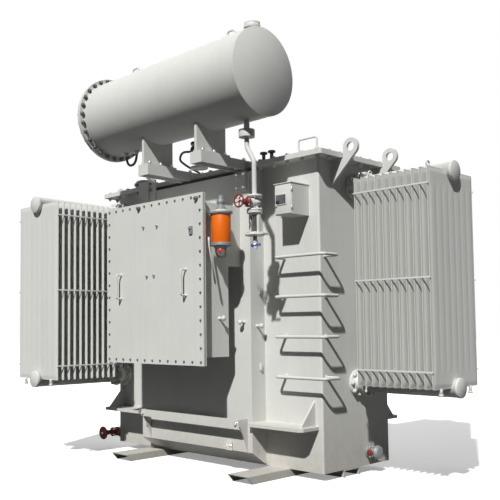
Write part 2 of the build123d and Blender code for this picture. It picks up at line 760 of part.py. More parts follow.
# Breather beside the cable box, on a pipe from the conservator
breather_x = box_x + BOX_WIDTH / 2 + BREATHER_SIDE_GAP + BREATHER_R
breather_y = box_front_y + BREATHER_BACK
breather_top_z = cover_top_z - BREATHER_TOP_BELOW_COVER
breather_foot_z = breather_top_z - BREATHER_HEIGHT
with BuildPart() as breather_body:
    with Locations((breather_x, breather_y, (breather_top_z + breather_foot_z) / 2)):
        Cylinder(BREATHER_R, BREATHER_HEIGHT)
save(breather_body, "breather_body")
with BuildPart() as breather_cap:
    with Locations((breather_x, breather_y, breather_top_z + BREATHER_CAP_HEIGHT / 2)):
        Cylinder(BREATHER_CAP_R, BREATHER_CAP_HEIGHT)
    with Locations((breather_x, breather_y, breather_top_z + BREATHER_CAP_HEIGHT + 15)):
        Cone(BREATHER_R * 0.8, 16, 30)
    with Locations((breather_x, breather_y, breather_top_z + BREATHER_CAP_HEIGHT + 65)):
        Cylinder(13, 70)
    box_between(
        (box_x + BOX_WIDTH / 2, breather_y - 25, breather_top_z),
        (breather_x, breather_y + 25, breather_top_z + 8),
    )
save(breather_cap, "breather_cap")
with BuildPart() as breather_cup:
    with Locations((breather_x, breather_y, breather_foot_z - 6)):
        Cylinder(BREATHER_R + 6, 12)
    with Locations((breather_x, breather_y, breather_foot_z - 12 - BREATHER_CUP_HEIGHT / 2)):
        Cylinder(BREATHER_CUP_R, BREATHER_CUP_HEIGHT)
save(breather_cup, "breather_cup")

# Instrument box on the right recess of the front wall
instrument_right_x = right_x - INSTRUMENT_INSET
instrument_z = floor_z + INSTRUMENT_FOOT
with BuildPart() as instrument_box:
    box_between(
        (instrument_right_x - INSTRUMENT_WIDTH, front_y - INSTRUMENT_DEPTH, instrument_z),
        (instrument_right_x, front_y, instrument_z + INSTRUMENT_HEIGHT),
    )
save(instrument_box, "instrument_box")


# Step rungs: rods bent round the right front corner, with a leg back to each wall
for index in range(RUNG_COUNT):
    rung_z = floor_z + RUNG_FOOT + index * RUNG_PITCH
    front_leg_x = right_x - RUNG_FRONT
    side_leg_y = front_y + RUNG_SIDE
    with BuildPart() as step_rung:
        with BuildLine():
            FilletPolyline(
                (front_leg_x, front_y, rung_z),
                (front_leg_x, front_y - RUNG_OFFSET, rung_z),
                (right_x + RUNG_OFFSET, front_y - RUNG_OFFSET, rung_z),
                (right_x + RUNG_OFFSET, side_leg_y, rung_z),
                (right_x, side_leg_y, rung_z),
                radius=RUNG_BEND,
            )
        with BuildSketch(Plane(origin=(front_leg_x, front_y, rung_z), z_dir=(0, -1, 0))):
            Circle(RUNG_R)
        sweep()
    save(step_rung, f"step_rung_{index + 1}")


# Radiators: panels side by side on two headers, closed by straps
radiator_depth = PANEL_PITCH * (PANEL_COUNT - 1) + PANEL_THICK
panel_foot_z = floor_z + PANEL_FOOT
panel_top_z = panel_foot_z + PANEL_HEIGHT
header_zs = (panel_foot_z, panel_top_z)


def radiator_panels(wall, gap):
    """Panels parallel to a wall, the first of them gap from it, notched for the headers and strapped."""
    mid_z = (panel_foot_z + panel_top_z) / 2
    with BuildPart() as body:
        for index in range(PANEL_COUNT):
            with BuildSketch(wall.offset(gap + index * PANEL_PITCH)):
                with Locations((0, mid_z)):
                    RectangleRounded(PANEL_WIDTH, PANEL_HEIGHT, PANEL_CORNER)
                for header_z in header_zs:
                    with Locations((0, header_z)):
                        Circle(HEADER_R, mode=Mode.SUBTRACT)
            extrude(amount=PANEL_THICK)
        with BuildSketch(wall.offset(gap)):
            for strap in (-1, 0, 1):
                for side in (-1, 1):
                    with Locations(
                        (side * (PANEL_WIDTH + STRAP_THICK) / 2, mid_z + strap * STRAP_PITCH)
                    ):
                        Rectangle(STRAP_THICK, STRAP_WIDTH)
        extrude(amount=radiator_depth)
    return body


def radiator_headers(wall, gap):
    """The two headers of a radiator, from a flanged valve at the wall to a cap past the last panel."""
    with BuildPart() as body:
        for header_z in header_zs:
            for start, end, radius in (
                (0, PORT_FLANGE_THICK, PORT_FLANGE_R),
                (PORT_FLANGE_THICK, PORT_LENGTH - PORT_FLANGE_THICK, PORT_R),
                (PORT_LENGTH - PORT_FLANGE_THICK, PORT_LENGTH, PORT_FLANGE_R),
                (PORT_LENGTH, gap + radiator_depth + HEADER_END, HEADER_R),
            ):
                with BuildSketch(wall.offset(start)):
                    with Locations((0, header_z)):
                        Circle(radius)
                extrude(amount=end - start)
    return body


# The plane of each wall: its first axis along the wall, its second up, and its third outwards
end_wall_right = Plane(origin=(right_x, 0, 0), x_dir=(0, 1, 0), z_dir=(1, 0, 0))
end_wall_left = Plane(origin=(-right_x, 0, 0), x_dir=(0, -1, 0), z_dir=(-1, 0, 0))
side_radiator_x = right_x - SIDE_RADIATOR_INSET
front_wall_left = Plane(origin=(-side_radiator_x, front_y, 0), x_dir=(1, 0, 0), z_dir=(0, -1, 0))
rear_wall_right = Plane(origin=(side_radiator_x, -front_y, 0), x_dir=(-1, 0, 0), z_dir=(0, 1, 0))
radiator_walls = (
    ("right_end", end_wall_right, END_RADIATOR_GAP),
    ("left_end", end_wall_left, END_RADIATOR_GAP),
    ("front_left", front_wall_left, SIDE_RADIATOR_GAP),
    ("rear_right", rear_wall_right, SIDE_RADIATOR_GAP),
)
for name, wall, gap in radiator_walls:
    panels = radiator_panels(wall, gap)
    save(panels, f"radiator_panels_{name}")
    headers = radiator_headers(wall, gap)
    save(headers, f"radiator_headers_{name}")


# Fittings on the cover
with BuildPart() as cover_bail:
    bail_x = right_x + BAIL_INSET - BAIL_WIDTH
    bail_y = front_y - BAIL_AHEAD
    bent_rod(
        (bail_x, bail_y, cover_top_z),
        (bail_x + BAIL_WIDTH, bail_y, cover_top_z),
        (0, 0, BAIL_HEIGHT),
        BAIL_R,
    )
save(cover_bail, "cover_bail")

with BuildPart() as pressure_relief:
    relief_y = front_y + 60
    with Locations((RELIEF_X, relief_y, cover_top_z + RELIEF_STEM / 2)):
        Cylinder(RELIEF_STEM_R, RELIEF_STEM)
    with Locations((RELIEF_X, relief_y, cover_top_z + RELIEF_STEM + RELIEF_HEIGHT / 2)):
        Cylinder(RELIEF_R, RELIEF_HEIGHT)
save(pressure_relief, "pressure_relief")

with BuildPart() as thermometer_pockets:
    for pocket_x in (right_x - POCKET_INSET, right_x - POCKET_INSET + POCKET_PITCH):
        with Locations((pocket_x, front_y - 40, cover_top_z + 25)):
            Cylinder(12, 50)
        with Locations((pocket_x, front_y - 40, cover_top_z + 58)):
            Cylinder(26, 16)
save(thermometer_pockets, "thermometer_pockets")


# Drain valve low on the left end, with its handwheel to the front
drain_z = floor_z + DRAIN_VALVE_Z
drain_y = front_y + DRAIN_VALVE_Y
drain_valve_x = -right_x - DRAIN_VALVE_OUT
with BuildPart() as drain_valve:
    with Locations(Location((-right_x - 9, drain_y, drain_z), (0, 90, 0))):
        Cylinder(50, 18)
    with Locations(Location((-right_x - DRAIN_VALVE_OUT / 2, drain_y, drain_z), (0, 90, 0))):
        Cylinder(24, DRAIN_VALVE_OUT)
    with Locations((drain_valve_x, drain_y, drain_z)):
        Sphere(36)
    with Locations(Location((drain_valve_x, drain_y - 45, drain_z), (90, 0, 0))):
        Cylinder(20, 90)
    with Locations(Location((drain_valve_x, drain_y - DRAIN_STEM / 2, drain_z), (90, 0, 0))):
        Cylinder(SPINDLE_R, DRAIN_STEM)
save(drain_valve, "drain_valve")
drain_wheel_y = drain_y - DRAIN_STEM + WHEEL_HUB_LENGTH / 2 + 4
drain_handwheel = handwheel((drain_valve_x, drain_wheel_y, drain_z), DRAIN_WHEEL_R)
save(drain_handwheel, "drain_handwheel")

# Sampling valve low on the right end, and the earthing clamp at the foot of the front bay
with BuildPart() as sampling_valve:
    sample_y = front_y + SAMPLE_INSET
    sample_z = floor_z + SAMPLE_Z
    for start, end, radius in (
        (0, 14, SAMPLE_FLANGE_R),
        (14, 60, SAMPLE_FLANGE_R * 0.45),
        (60, 74, SAMPLE_FLANGE_R),
        (74, 86, SAMPLE_FLANGE_R * 0.8),
    ):
        with BuildSketch(end_wall_right.offset(start)):
            with Locations((sample_y, sample_z)):
                Circle(radius)
        extrude(amount=end - start)
save(sampling_valve, "sampling_valve")

with BuildPart() as earthing_clamp:
    clamp_x = box_x + CLAMP_OUT
    clamp_z = floor_z + BAY_FOOT
    box_between(
        (clamp_x - CLAMP_SIZE / 2, bay_y - CLAMP_THICK, clamp_z),
        (clamp_x + CLAMP_SIZE / 2, bay_y, clamp_z + CLAMP_SIZE),
    )
    for side in (-1, 1):
        with Locations(
            Location(
                (clamp_x + side * CLAMP_SIZE / 4, bay_y - CLAMP_THICK * 1.5, clamp_z + CLAMP_SIZE / 2),
                (90, 0, 0),
            )
        ):
            Cylinder(CLAMP_THICK * 0.8, CLAMP_THICK * 3)
save(earthing_clamp, "earthing_clamp")
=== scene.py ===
# %% [markdown]
# # Oil-filled electrical transformer
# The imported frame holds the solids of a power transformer: a welded tank on skids, a cable box, a
# cylindrical oil conservator on two saddles, four banks of plate radiators, and valves and gauges.
# This lesson dresses them. Painted steel plate gets its paint and weather, the radiator panels get
# their pressed flutes, and bolts, welds, castings, gauges and wiring are added as real geometry.
# Everything is in metres, in the frame of the solids, and no piece leaves their box.


# %% Load the frame
import json
import math
import random

import bpy
import bmesh
from mathutils import Matrix, Vector


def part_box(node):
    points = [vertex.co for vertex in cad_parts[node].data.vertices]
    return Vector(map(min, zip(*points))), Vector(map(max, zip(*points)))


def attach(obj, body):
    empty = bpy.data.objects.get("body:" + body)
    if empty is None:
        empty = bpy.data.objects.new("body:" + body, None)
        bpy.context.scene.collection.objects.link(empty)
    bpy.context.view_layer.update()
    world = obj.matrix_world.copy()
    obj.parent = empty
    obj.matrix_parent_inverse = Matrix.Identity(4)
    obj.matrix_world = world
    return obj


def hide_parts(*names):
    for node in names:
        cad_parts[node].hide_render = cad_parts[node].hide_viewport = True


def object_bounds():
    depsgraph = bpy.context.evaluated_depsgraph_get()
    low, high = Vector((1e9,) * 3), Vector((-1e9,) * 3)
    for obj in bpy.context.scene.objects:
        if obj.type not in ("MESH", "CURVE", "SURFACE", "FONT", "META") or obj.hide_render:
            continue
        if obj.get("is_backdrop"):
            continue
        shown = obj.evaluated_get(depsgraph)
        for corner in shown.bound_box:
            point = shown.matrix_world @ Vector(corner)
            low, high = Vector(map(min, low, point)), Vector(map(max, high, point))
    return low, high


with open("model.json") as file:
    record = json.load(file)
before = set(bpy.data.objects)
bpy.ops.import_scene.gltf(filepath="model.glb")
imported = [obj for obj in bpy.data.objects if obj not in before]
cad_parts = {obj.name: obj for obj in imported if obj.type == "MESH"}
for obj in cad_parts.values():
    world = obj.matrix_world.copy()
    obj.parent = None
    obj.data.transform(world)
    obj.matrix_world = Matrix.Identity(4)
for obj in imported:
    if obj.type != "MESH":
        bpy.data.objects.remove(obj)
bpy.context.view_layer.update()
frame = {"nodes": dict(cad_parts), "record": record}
BODY = "transformer"
UP, DOWN = (0, 0, 1), (0, 0, -1)
FRONT, BACK, RIGHT, LEFT = (0, -1, 0), (0, 1, 0), (1, 0, 0), (-1, 0, 0)
random.seed(7)

# %% [markdown]
# ## Materials
# The real tank is sprayed with a warm grey paint that has a faint orange peel, dulls unevenly
# outdoors, is dusty near the ground and carries thin rain streaks. A flat colour would look like
# plastic, and an image texture would need an unwrapped mesh. So one recipe of noise textures on
# object coordinates serves every finish: broad mottling for the colour, stretched noise for the
# streaks, a height ramp for the dust, and fine noise for gloss and relief.


# %% Shader nodes
def node(tree, kind, **sockets):
    """Adds a shader node. Inputs go by name, or by number as i0 and i1. A socket is linked."""
    made = tree.nodes.new(kind)
    for key, value in sockets.items():
        numbered = key[0] == "i" and key[1:].isdigit()
        slot = made.inputs[int(key[1:])] if numbered else made.inputs[key]
        if isinstance(value, bpy.types.NodeSocket):
            tree.links.new(value, slot)
        else:
            slot.default_value = value
    return made


def ramp(tree, factor, *stops):
    """A colour ramp from (position, colour) stops."""
    made = node(tree, "ShaderNodeValToRGB", Fac=factor)
    elements = made.color_ramp.elements
    while len(elements) < len(stops):
        elements.new(0.5)
    for element, (position, colour) in zip(elements, stops):
        element.position = position
        element.color = (*colour, 1)
    return made.outputs["Color"]


# %% Colours
# A Mix node has sockets for each kind of value. These are the numbers of the colour ones.
MIX_FACTOR, MIX_A, MIX_B, MIX_RESULT = 0, 6, 7, 2


def scaled(colour, amount):
    """A lighter or darker colour."""
    return tuple(min(1, c * amount) for c in colour)


def blend_colours(tree, factor, first, second):
    """Mixes a colour socket towards a plain colour."""
    mix = tree.nodes.new("ShaderNodeMix")
    mix.data_type = "RGBA"
    tree.links.new(factor, mix.inputs[MIX_FACTOR])
    tree.links.new(first, mix.inputs[MIX_A])
    mix.inputs[MIX_B].default_value = (*second, 1)
    return mix.outputs[MIX_RESULT]


# %% Rain streaks and dust
STREAK_SCALE, STREAK_DARK = (26, 26, 0.9), 0.62
DUST, DUST_TOP, SPECK = (0.30, 0.24, 0.17), 0.55, 22


def streaked(tree, at, tint, colour, streaks):
    """Thin upright runs of a darker colour, from noise that is stretched along Z."""
    long = node(tree, "ShaderNodeMapping", Vector=at, Scale=STREAK_SCALE)
    rain = node(tree, "ShaderNodeTexNoise", Vector=long.outputs["Vector"], Scale=1, Detail=6)
    run = ramp(tree, rain.outputs["Fac"], (0.48, (0, 0, 0)), (0.78, (streaks,) * 3))
    return blend_colours(tree, run, tint, scaled(colour, STREAK_DARK))


def dusted(tree, at, tint, dust):
    """Specks of brown dust that thin out from the ground up."""
    split = node(tree, "ShaderNodeSeparateXYZ", Vector=at)
    low = node(tree, "ShaderNodeMapRange", Value=split.outputs["Z"])
    low.inputs["From Min"].default_value = DUST_TOP
    low.inputs["From Max"].default_value = 0.0
    speck = node(tree, "ShaderNodeTexNoise", Vector=at, Scale=SPECK, Detail=8, Roughness=0.7)
    amount = node(tree, "ShaderNodeMath", i0=low.outputs[0], i1=speck.outputs["Fac"])
    amount.operation = "MULTIPLY"
    share = node(tree, "ShaderNodeMath", i0=amount.outputs[0], i1=dust)
    share.operation = "MULTIPLY"
    return blend_colours(tree, share.outputs[0], tint, DUST)


# %% The recipe for a finish
MOTTLE_SCALE, RELIEF, SHEEN = 2.3, 0.0006, 0.08


def surface(
    name,
    colour,
    rough=0.45,
    metal=0.0,
    mottle=0.06,
    grain=60,
    bump=0.15,
    dust=0.0,
    streaks=0.0,
    coat=0.0,
    gloss=0.5,
):
    """A weathered surface: mottled colour, fine bump, dust by height and vertical rain streaks."""
    mat = bpy.data.materials.new(name)
    mat.use_nodes = True
    tree = mat.node_tree
    shader = tree.nodes["Principled BSDF"]
    at = node(tree, "ShaderNodeTexCoord").outputs["Object"]
    broad = node(tree, "ShaderNodeTexNoise", Vector=at, Scale=MOTTLE_SCALE, Detail=5, Roughness=0.6)
    tint = ramp(
        tree,
        broad.outputs["Fac"],
        (0.3, scaled(colour, 1 - mottle)),
        (0.7, scaled(colour, 1 + mottle)),
    )
    if streaks:
        tint = streaked(tree, at, tint, colour, streaks)
    if dust:
        tint = dusted(tree, at, tint, dust)
    tree.links.new(tint, shader.inputs["Base Color"])
    fine = node(tree, "ShaderNodeTexNoise", Vector=at, Scale=grain, Detail=4)
    sheen = node(tree, "ShaderNodeMapRange", Value=fine.outputs["Fac"])
    sheen.inputs["To Min"].default_value = max(0.02, rough - SHEEN)
    sheen.inputs["To Max"].default_value = min(1, rough + SHEEN)
    tree.links.new(sheen.outputs[0], shader.inputs["Roughness"])
    relief = node(tree, "ShaderNodeBump", Height=fine.outputs["Fac"], Strength=bump)
    relief.inputs["Distance"].default_value = RELIEF
    tree.links.new(relief.outputs["Normal"], shader.inputs["Normal"])
    shader.inputs["Metallic"].default_value = metal
    shader.inputs["Coat Weight"].default_value = coat
    shader.inputs["Specular IOR Level"].default_value = gloss
    return mat


# %% Finishes of this transformer
PAINT = (0.568, 0.577, 0.560)
paint = surface(
    "weathered_paint", PAINT, rough=0.5, gloss=0.22, grain=90, mottle=0.035, dust=0.7, streaks=0.12
)
paint_fresh = surface(
    "fresh_paint", scaled(PAINT, 1.02), rough=0.46, gloss=0.32, grain=120, mottle=0.04
)
maroon = surface(
    "handwheel_red", (0.16, 0.023, 0.017), rough=0.6, gloss=0.3, mottle=0.4, grain=260, bump=0.4
)
blue = surface("lever_blue", (0.03, 0.06, 0.26), rough=0.35, mottle=0.15, grain=200)
orange = surface(
    "breather_orange", (0.69, 0.128, 0.002), rough=0.45, gloss=0.3, mottle=0.10, grain=420, bump=0.4
)
black = surface("black_enamel", (0.012, 0.012, 0.014), rough=0.35, mottle=0.3, grain=150)
rubber = surface("black_rubber", (0.010, 0.010, 0.010), rough=0.75, mottle=0.2, grain=300)
print("tank paint", PAINT)

# %% Finishes of its metal, glass and marks
zinc = surface(
    "zinc_steel", (0.50, 0.50, 0.49), rough=0.35, metal=0.9, mottle=0.15, grain=260, bump=0.3
)
dark_steel = surface(
    "dark_steel", (0.10, 0.10, 0.095), rough=0.45, metal=0.6, mottle=0.3, grain=220, bump=0.3
)
dull_grey = surface(
    "dull_grey", (0.22, 0.23, 0.24), rough=0.5, metal=0.2, mottle=0.2, grain=220, bump=0.2
)
dark_glass = surface(
    "dark_glass", (0.012, 0.014, 0.018), rough=0.08, mottle=0.2, grain=10, bump=0.02, coat=1.0
)
cup = surface("oil_cup", (0.10, 0.05, 0.03), rough=0.12, mottle=0.2, grain=40, bump=0.05, coat=1.0)
red = surface("signal_red", (0.45, 0.02, 0.02), rough=0.4, mottle=0.1, grain=200)
print(len(bpy.data.materials), "finishes")

# %% A finish for every solid
SLOTS = {
    "tank_paint": paint,
    "handwheel_paint": maroon,
    "lever_plastic": blue,
    "breather_paint": orange,
    "cup_glass": cup,
    "relay_paint": black,
    "steel": zinc,
    "cable_rubber": rubber,
}
slot_of = {row["node"]: row["material_slot"] for row in frame["record"]["subparts"]}
for name, thing in frame["nodes"].items():
    thing.data.materials.clear()
    thing.data.materials.append(SLOTS.get(slot_of.get(name), paint))
print(len(frame["nodes"]), "solids have a finish")

# %% [markdown]
# ## Camera
# A large plant item is photographed from head height, a few steps off one corner, so its verticals
# stay nearly upright. The camera could be placed by eye, but corners whose real places are known
# fix it: the numbers below come from such a fit, with a small tilt, roll and lens shift.


# %% Camera
CAMERA_AT = Vector((3.9854, -4.1840, 0.9531))
YAW, TILT, ROLL = -0.8138, 0.0643, -0.0086
LENS, SHIFT = 55.38, (0.0994, 0.0558)

heading = Vector((math.sin(YAW), math.cos(YAW), 0))
forward = math.cos(TILT) * heading + math.sin(TILT) * Vector(UP)
level = Vector((math.cos(YAW), -math.sin(YAW), 0))
upward = level.cross(forward)
right = math.cos(ROLL) * level + math.sin(ROLL) * upward
top = -math.sin(ROLL) * level + math.cos(ROLL) * upward
camera = bpy.data.objects.new("camera", bpy.data.cameras.new("camera"))
bpy.context.scene.collection.objects.link(camera)
facing = Matrix((right, top, -forward)).transposed().to_4x4()
camera.matrix_world = Matrix.Translation(CAMERA_AT) @ facing
camera.data.lens, camera.data.sensor_width = LENS, 36
camera.data.shift_x, camera.data.shift_y = SHIFT
camera.data.clip_end = 100
bpy.context.scene.camera = camera
bpy.context.scene.view_settings.view_transform = "Standard"
print("camera at", tuple(round(c, 3) for c in CAMERA_AT), "lens", LENS)

# %% [markdown]
# ## Lamps
# Big steel faces read best when one clear light comes from the front and above and the ends stay a
# shade darker. A sun lamp with a soft edge does that evenly over four metres, where a small area
# lamp would fall off. Two large area lamps lift the left side and the back.


# %% Lamps
def lamp(name, kind, at, aim, energy, size, colour):
    """A lamp that looks from at to aim. A sun's size is an angle, another lamp's a length."""
    data = bpy.data.lights.new(name, kind)
    data.energy, data.color = energy, colour
    if kind == "SUN":
        data.angle = size
    else:
        data.size = size
    made = bpy.data.objects.new(name, data)
    bpy.context.scene.collection.objects.link(made)
    made.location = at
    made.rotation_euler = (Vector(aim) - Vector(at)).to_track_quat("-Z", "Y").to_euler()


lamp("key", "SUN", (3.4, -6.6, 6.9), (0, 0, 0), 4.85, 0.025, (1.0, 0.985, 0.955))
lamp("fill", "AREA", (-7, -8, 4), (0, 0, 1), 25, 6, (0.93, 0.96, 1.0))
lamp("rim", "AREA", (-6, 8, 6), (0, 0, 1), 480, 6, (1.0, 0.99, 0.97))
print("lamps: key, fill, rim")

# %% [markdown]
# ## Backdrop and floor
# A cut-out look needs white behind the object, but a white world bright enough to clip would wash
# out the shaded sides. Light Path tells rays apart: the camera's own rays, and those that gloss and
# glass send on, see white, while the light that reaches the paint comes from a dimmer sky. The
# floor works the same way and still catches the object's shadow.


# %% Backdrop
def seen_directly(tree):
    """One for the camera's own rays and for those that metal and glass send on, else nought."""
    path = node(tree, "ShaderNodeLightPath")
    found = path.outputs["Is Camera Ray"]
    for ray in ("Is Glossy Ray", "Is Transmission Ray"):
        either = node(tree, "ShaderNodeMath", i0=found, i1=path.outputs[ray])
        either.operation = "MAXIMUM"
        found = either.outputs[0]
    return found


world = bpy.data.worlds.new("studio")
bpy.context.scene.world = world
world.use_nodes = True
sky = world.node_tree
sky_light = sky.nodes["Background"]
sky_light.inputs["Color"].default_value = (0.74, 0.85, 1.0, 1)
sky_light.inputs["Strength"].default_value = 0.06
white = node(sky, "ShaderNodeBackground", Color=(1, 1, 1, 1), Strength=1.0)
pick = node(sky, "ShaderNodeMixShader", Fac=seen_directly(sky))
sky.links.new(sky_light.outputs[0], pick.inputs[1])
sky.links.new(white.outputs[0], pick.inputs[2])
sky.links.new(pick.outputs[0], sky.nodes["World Output"].inputs["Surface"])
print("backdrop: white to the eye, a dim sky to the paint")

# %% Floor
FAR = 40
floor_mesh = bpy.data.meshes.new("floor")
floor_corners = [(-FAR, -FAR, 0), (FAR, -FAR, 0), (FAR, FAR, 0), (-FAR, FAR, 0)]
floor_mesh.from_pydata(floor_corners, [], [(0, 1, 2, 3)])
floor = bpy.data.objects.new("floor", floor_mesh)
bpy.context.scene.collection.objects.link(floor)
floor.location.z = -0.001
ground = surface("studio_floor", (0.86, 0.86, 0.85), rough=0.8, mottle=0.01, grain=30, bump=0.02)
tree = ground.node_tree
bright = tree.nodes["Principled BSDF"]
bright.inputs["Emission Color"].default_value = (1, 1, 1, 1)
bright.inputs["Emission Strength"].default_value = 0.30
dim = node(tree, "ShaderNodeBsdfDiffuse", Color=(0.035, 0.035, 0.034, 1))
pick = node(tree, "ShaderNodeMixShader", Fac=seen_directly(tree))
tree.links.new(dim.outputs[0], pick.inputs[1])
tree.links.new(bright.outputs[0], pick.inputs[2])
tree.links.new(pick.outputs[0], tree.nodes["Material Output"].inputs["Surface"])
floor_mesh.materials.append(ground)
floor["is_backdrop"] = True
print(f"floor: {2 * FAR} m square")


# %% [markdown]
# ## Mesh tools
# Fittings of a transformer are turned, cast, bent or cut from plate. Each of those ways of making
# has a tool here that adds one closed shape to a bmesh: a lathe for turned parts, a bevelled block
# for plate, a tube for bent rod and a torus for rings and round welds. Boolean cuts would also
# work, but closed shapes that overlap like real castings and welds keep clean normals.


# %% Place and shade a piece
def basis(axis, hint=UP):
    """Rotation whose third column is axis and whose second is as near hint as it can be."""
    z = Vector(axis).normalized()
    up = Vector(hint)
    if abs(z.dot(up)) > 0.95:
        up = Vector(BACK)
    x = up.cross(z).normalized()
    return Matrix((x, z.cross(x), z)).transposed()


def shaded(name, bm, sharp):
    """A mesh of a bmesh, smooth but for the edges that turn more than sharp degrees."""
    for face in bm.faces:
        face.smooth = True
    for edge in bm.edges:
        if len(edge.link_faces) == 2:
            edge.smooth = edge.calc_face_angle() < math.radians(sharp)
    mesh = bpy.data.meshes.new(name)
    bm.to_mesh(mesh)
    bm.free()
    return mesh


def dress(name, mesh, mat, body=BODY, instead=()):
    """Gives a mesh its finish and makes it a piece that rides on a body."""
    mesh.materials.clear()
    mesh.materials.append(mat)
    made = bpy.data.objects.new(name, mesh)
    bpy.context.scene.collection.objects.link(made)
    print(f"{name}: {len(mesh.polygons)} faces on {body}")
    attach(made, body)
    if instead:
        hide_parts(*instead)


def piece(name, bm, mat, body=BODY, sharp=40, instead=()):
    """Makes a piece of a bmesh."""
    dress(name, shaded(name, bm, sharp), mat, body, instead)


# %% Turned and cut shapes
def lathe(bm, at, axis, profile, segments):
    """Turns (radius, along) pairs about an axis through at, and closes both ends."""
    spin, origin, rings = basis(axis), Vector(at), []
    for radius, along in profile:
        ring = []
        for k in range(segments):
            angle = math.tau * k / segments
            place = Vector((radius * math.cos(angle), radius * math.sin(angle), along))
            ring.append(bm.verts.new(origin + spin @ place))
        rings.append(ring)
    for low_ring, high_ring in zip(rings, rings[1:]):
        for k in range(segments):
            n = (k + 1) % segments
            bm.faces.new((low_ring[k], low_ring[n], high_ring[n], high_ring[k]))
    bm.faces.new(rings[0][::-1])
    bm.faces.new(rings[-1])


def disc(bm, at, axis, radius, thick, ease=0.002, segments=40):
    """A disc with eased rims, standing on at along axis."""
    profile = [(radius - ease, 0), (radius, ease), (radius, thick - ease), (radius - ease, thick)]
    lathe(bm, at, axis, profile, segments)


def block(bm, low, high, ease=0.002):
    """A box between two corners with bevelled edges."""
    low, high = Vector(low), Vector(high)
    size = high - low
    place = Matrix.Translation((low + high) / 2) @ Matrix.Diagonal((*size, 1))
    made = bmesh.ops.create_cube(bm, size=1, matrix=place)
    if ease:
        edges = list({edge for vert in made["verts"] for edge in vert.link_edges})
        width = min(ease, min(size) * 0.3)
        bmesh.ops.bevel(bm, geom=edges, offset=width, segments=2, affect="EDGES", profile=0.6)


# %% Bent rod
def rounded(points, radius, steps=6):
    """A polyline for bent rod, its corners turned into arcs."""
    points = [Vector(p) for p in points]
    out = [points[0]]
    for before, corner, after in zip(points, points[1:], points[2:]):
        into, away = (before - corner), (after - corner)
        reach = min(radius, into.length * 0.49, away.length * 0.49)
        start, end = corner + into.normalized() * reach, corner + away.normalized() * reach
        for k in range(steps + 1):
            t = k / steps
            out.append(start.lerp(corner, t).lerp(corner.lerp(end, t), t))
    out.append(points[-1])
    return out


def tube(bm, points, radius, segments=12, waver=0.0):
    """A round tube along a polyline, closed at both ends."""
    points = [Vector(p) for p in points]
    side, rings = None, []
    for k, point in enumerate(points):
        ahead = points[min(k + 1, len(points) - 1)] - points[max(k - 1, 0)]
        ahead.normalize()
        if side is None:
            side = ahead.orthogonal().normalized()
        side = (side - ahead * side.dot(ahead)).normalized()
        other = ahead.cross(side)
        r = radius * (1 + waver * random.uniform(-1, 1))
        ring = []
        for n in range(segments):
            a = math.tau * n / segments
            ring.append(bm.verts.new(point + r * (math.cos(a) * side + math.sin(a) * other)))
        rings.append(ring)
    for first, second in zip(rings, rings[1:]):
        for k in range(segments):
            n = (k + 1) % segments
            bm.faces.new((first[k], first[n], second[n], second[k]))
    bm.faces.new(rings[0][::-1])
    bm.faces.new(rings[-1])


# %% Rings and welds
def torus(bm, at, axis, ring_r, rim_r, segments=48, sides=12, lobes=0, depth=0.0):
    """A ring, with a finger-grip wave along it if it has lobes."""
    spin, origin, rings = basis(axis), Vector(at), []
    for k in range(segments):
        angle = math.tau * k / segments
        out = Vector((math.cos(angle), math.sin(angle), 0))
        r = rim_r * (1 + depth * math.cos(lobes * angle))
        ring = []
        for n in range(sides):
            b = math.tau * n / sides
            place = out * (ring_r + r * math.cos(b)) + Vector((0, 0, r * math.sin(b)))
            ring.append(bm.verts.new(origin + spin @ place))
        rings.append(ring)
    for k in range(segments):
        first, second = rings[k], rings[(k + 1) % segments]
        for j in range(sides):
            n = (j + 1) % sides
            bm.faces.new((first[j], second[j], second[n], first[n]))


def bead(bm, points, radius=0.0035):
    """A fillet weld: a slightly uneven bead along straight runs between points."""
    fine = []
    for start, end in zip(points, points[1:]):
        start, end = Vector(start), Vector(end)
        count = max(2, int((end - start).length / 0.012))
        fine += [start.lerp(end, k / count) for k in range(count)]
    fine.append(Vector(points[-1]))
    tube(bm, fine, radius, 6, 0.22)


# %% [markdown]
# ## Two graphs for everything that repeats
# A transformer has hundreds of bolts and four stacks of equal radiator panels. Copying objects one
# by one would work, but a Geometry Nodes tree keeps the count, pitch and size as named inputs that
# can be changed in one place. `fastener_field` sets a piece on every point it is given, stands it
# along the point's own turn, and spins it a random amount, as a fitter leaves it. `panel_row`
# repeats a panel along a line. Both end by realizing the instances and setting the finish, because
# an export drops bare instances, and the result becomes an ordinary mesh.


# %% Parts of a graph
def new_tree(name, inputs):
    """A node group with a geometry socket each way and the named inputs, as (group, start, end)."""
    group = bpy.data.node_groups.new(name, "GeometryNodeTree")
    group.interface.new_socket("Geometry", in_out="INPUT", socket_type="NodeSocketGeometry")
    group.interface.new_socket("Geometry", in_out="OUTPUT", socket_type="NodeSocketGeometry")
    for title, kind in inputs:
        group.interface.new_socket(title, in_out="INPUT", socket_type="NodeSocket" + kind)
    return group, group.nodes.new("NodeGroupInput"), group.nodes.new("NodeGroupOutput")


def finish_tree(group, instances, start, end):
    """Realizes the instances and gives them the finish that the tree was handed."""
    solid = group.nodes.new("GeometryNodeRealizeInstances")
    coat = group.nodes.new("GeometryNodeSetMaterial")
    group.links.new(instances, solid.inputs[0])
    group.links.new(solid.outputs[0], coat.inputs["Geometry"])
    group.links.new(start.outputs["Finish"], coat.inputs["Material"])
    group.links.new(coat.outputs[0], end.inputs[0])


# %% The fastener graph
FIELD_INPUTS = (
    ("Fastener", "Object"),
    ("Size", "Float"),
    ("Spin", "Float"),
    ("Seed", "Int"),
    ("Finish", "Material"),
)


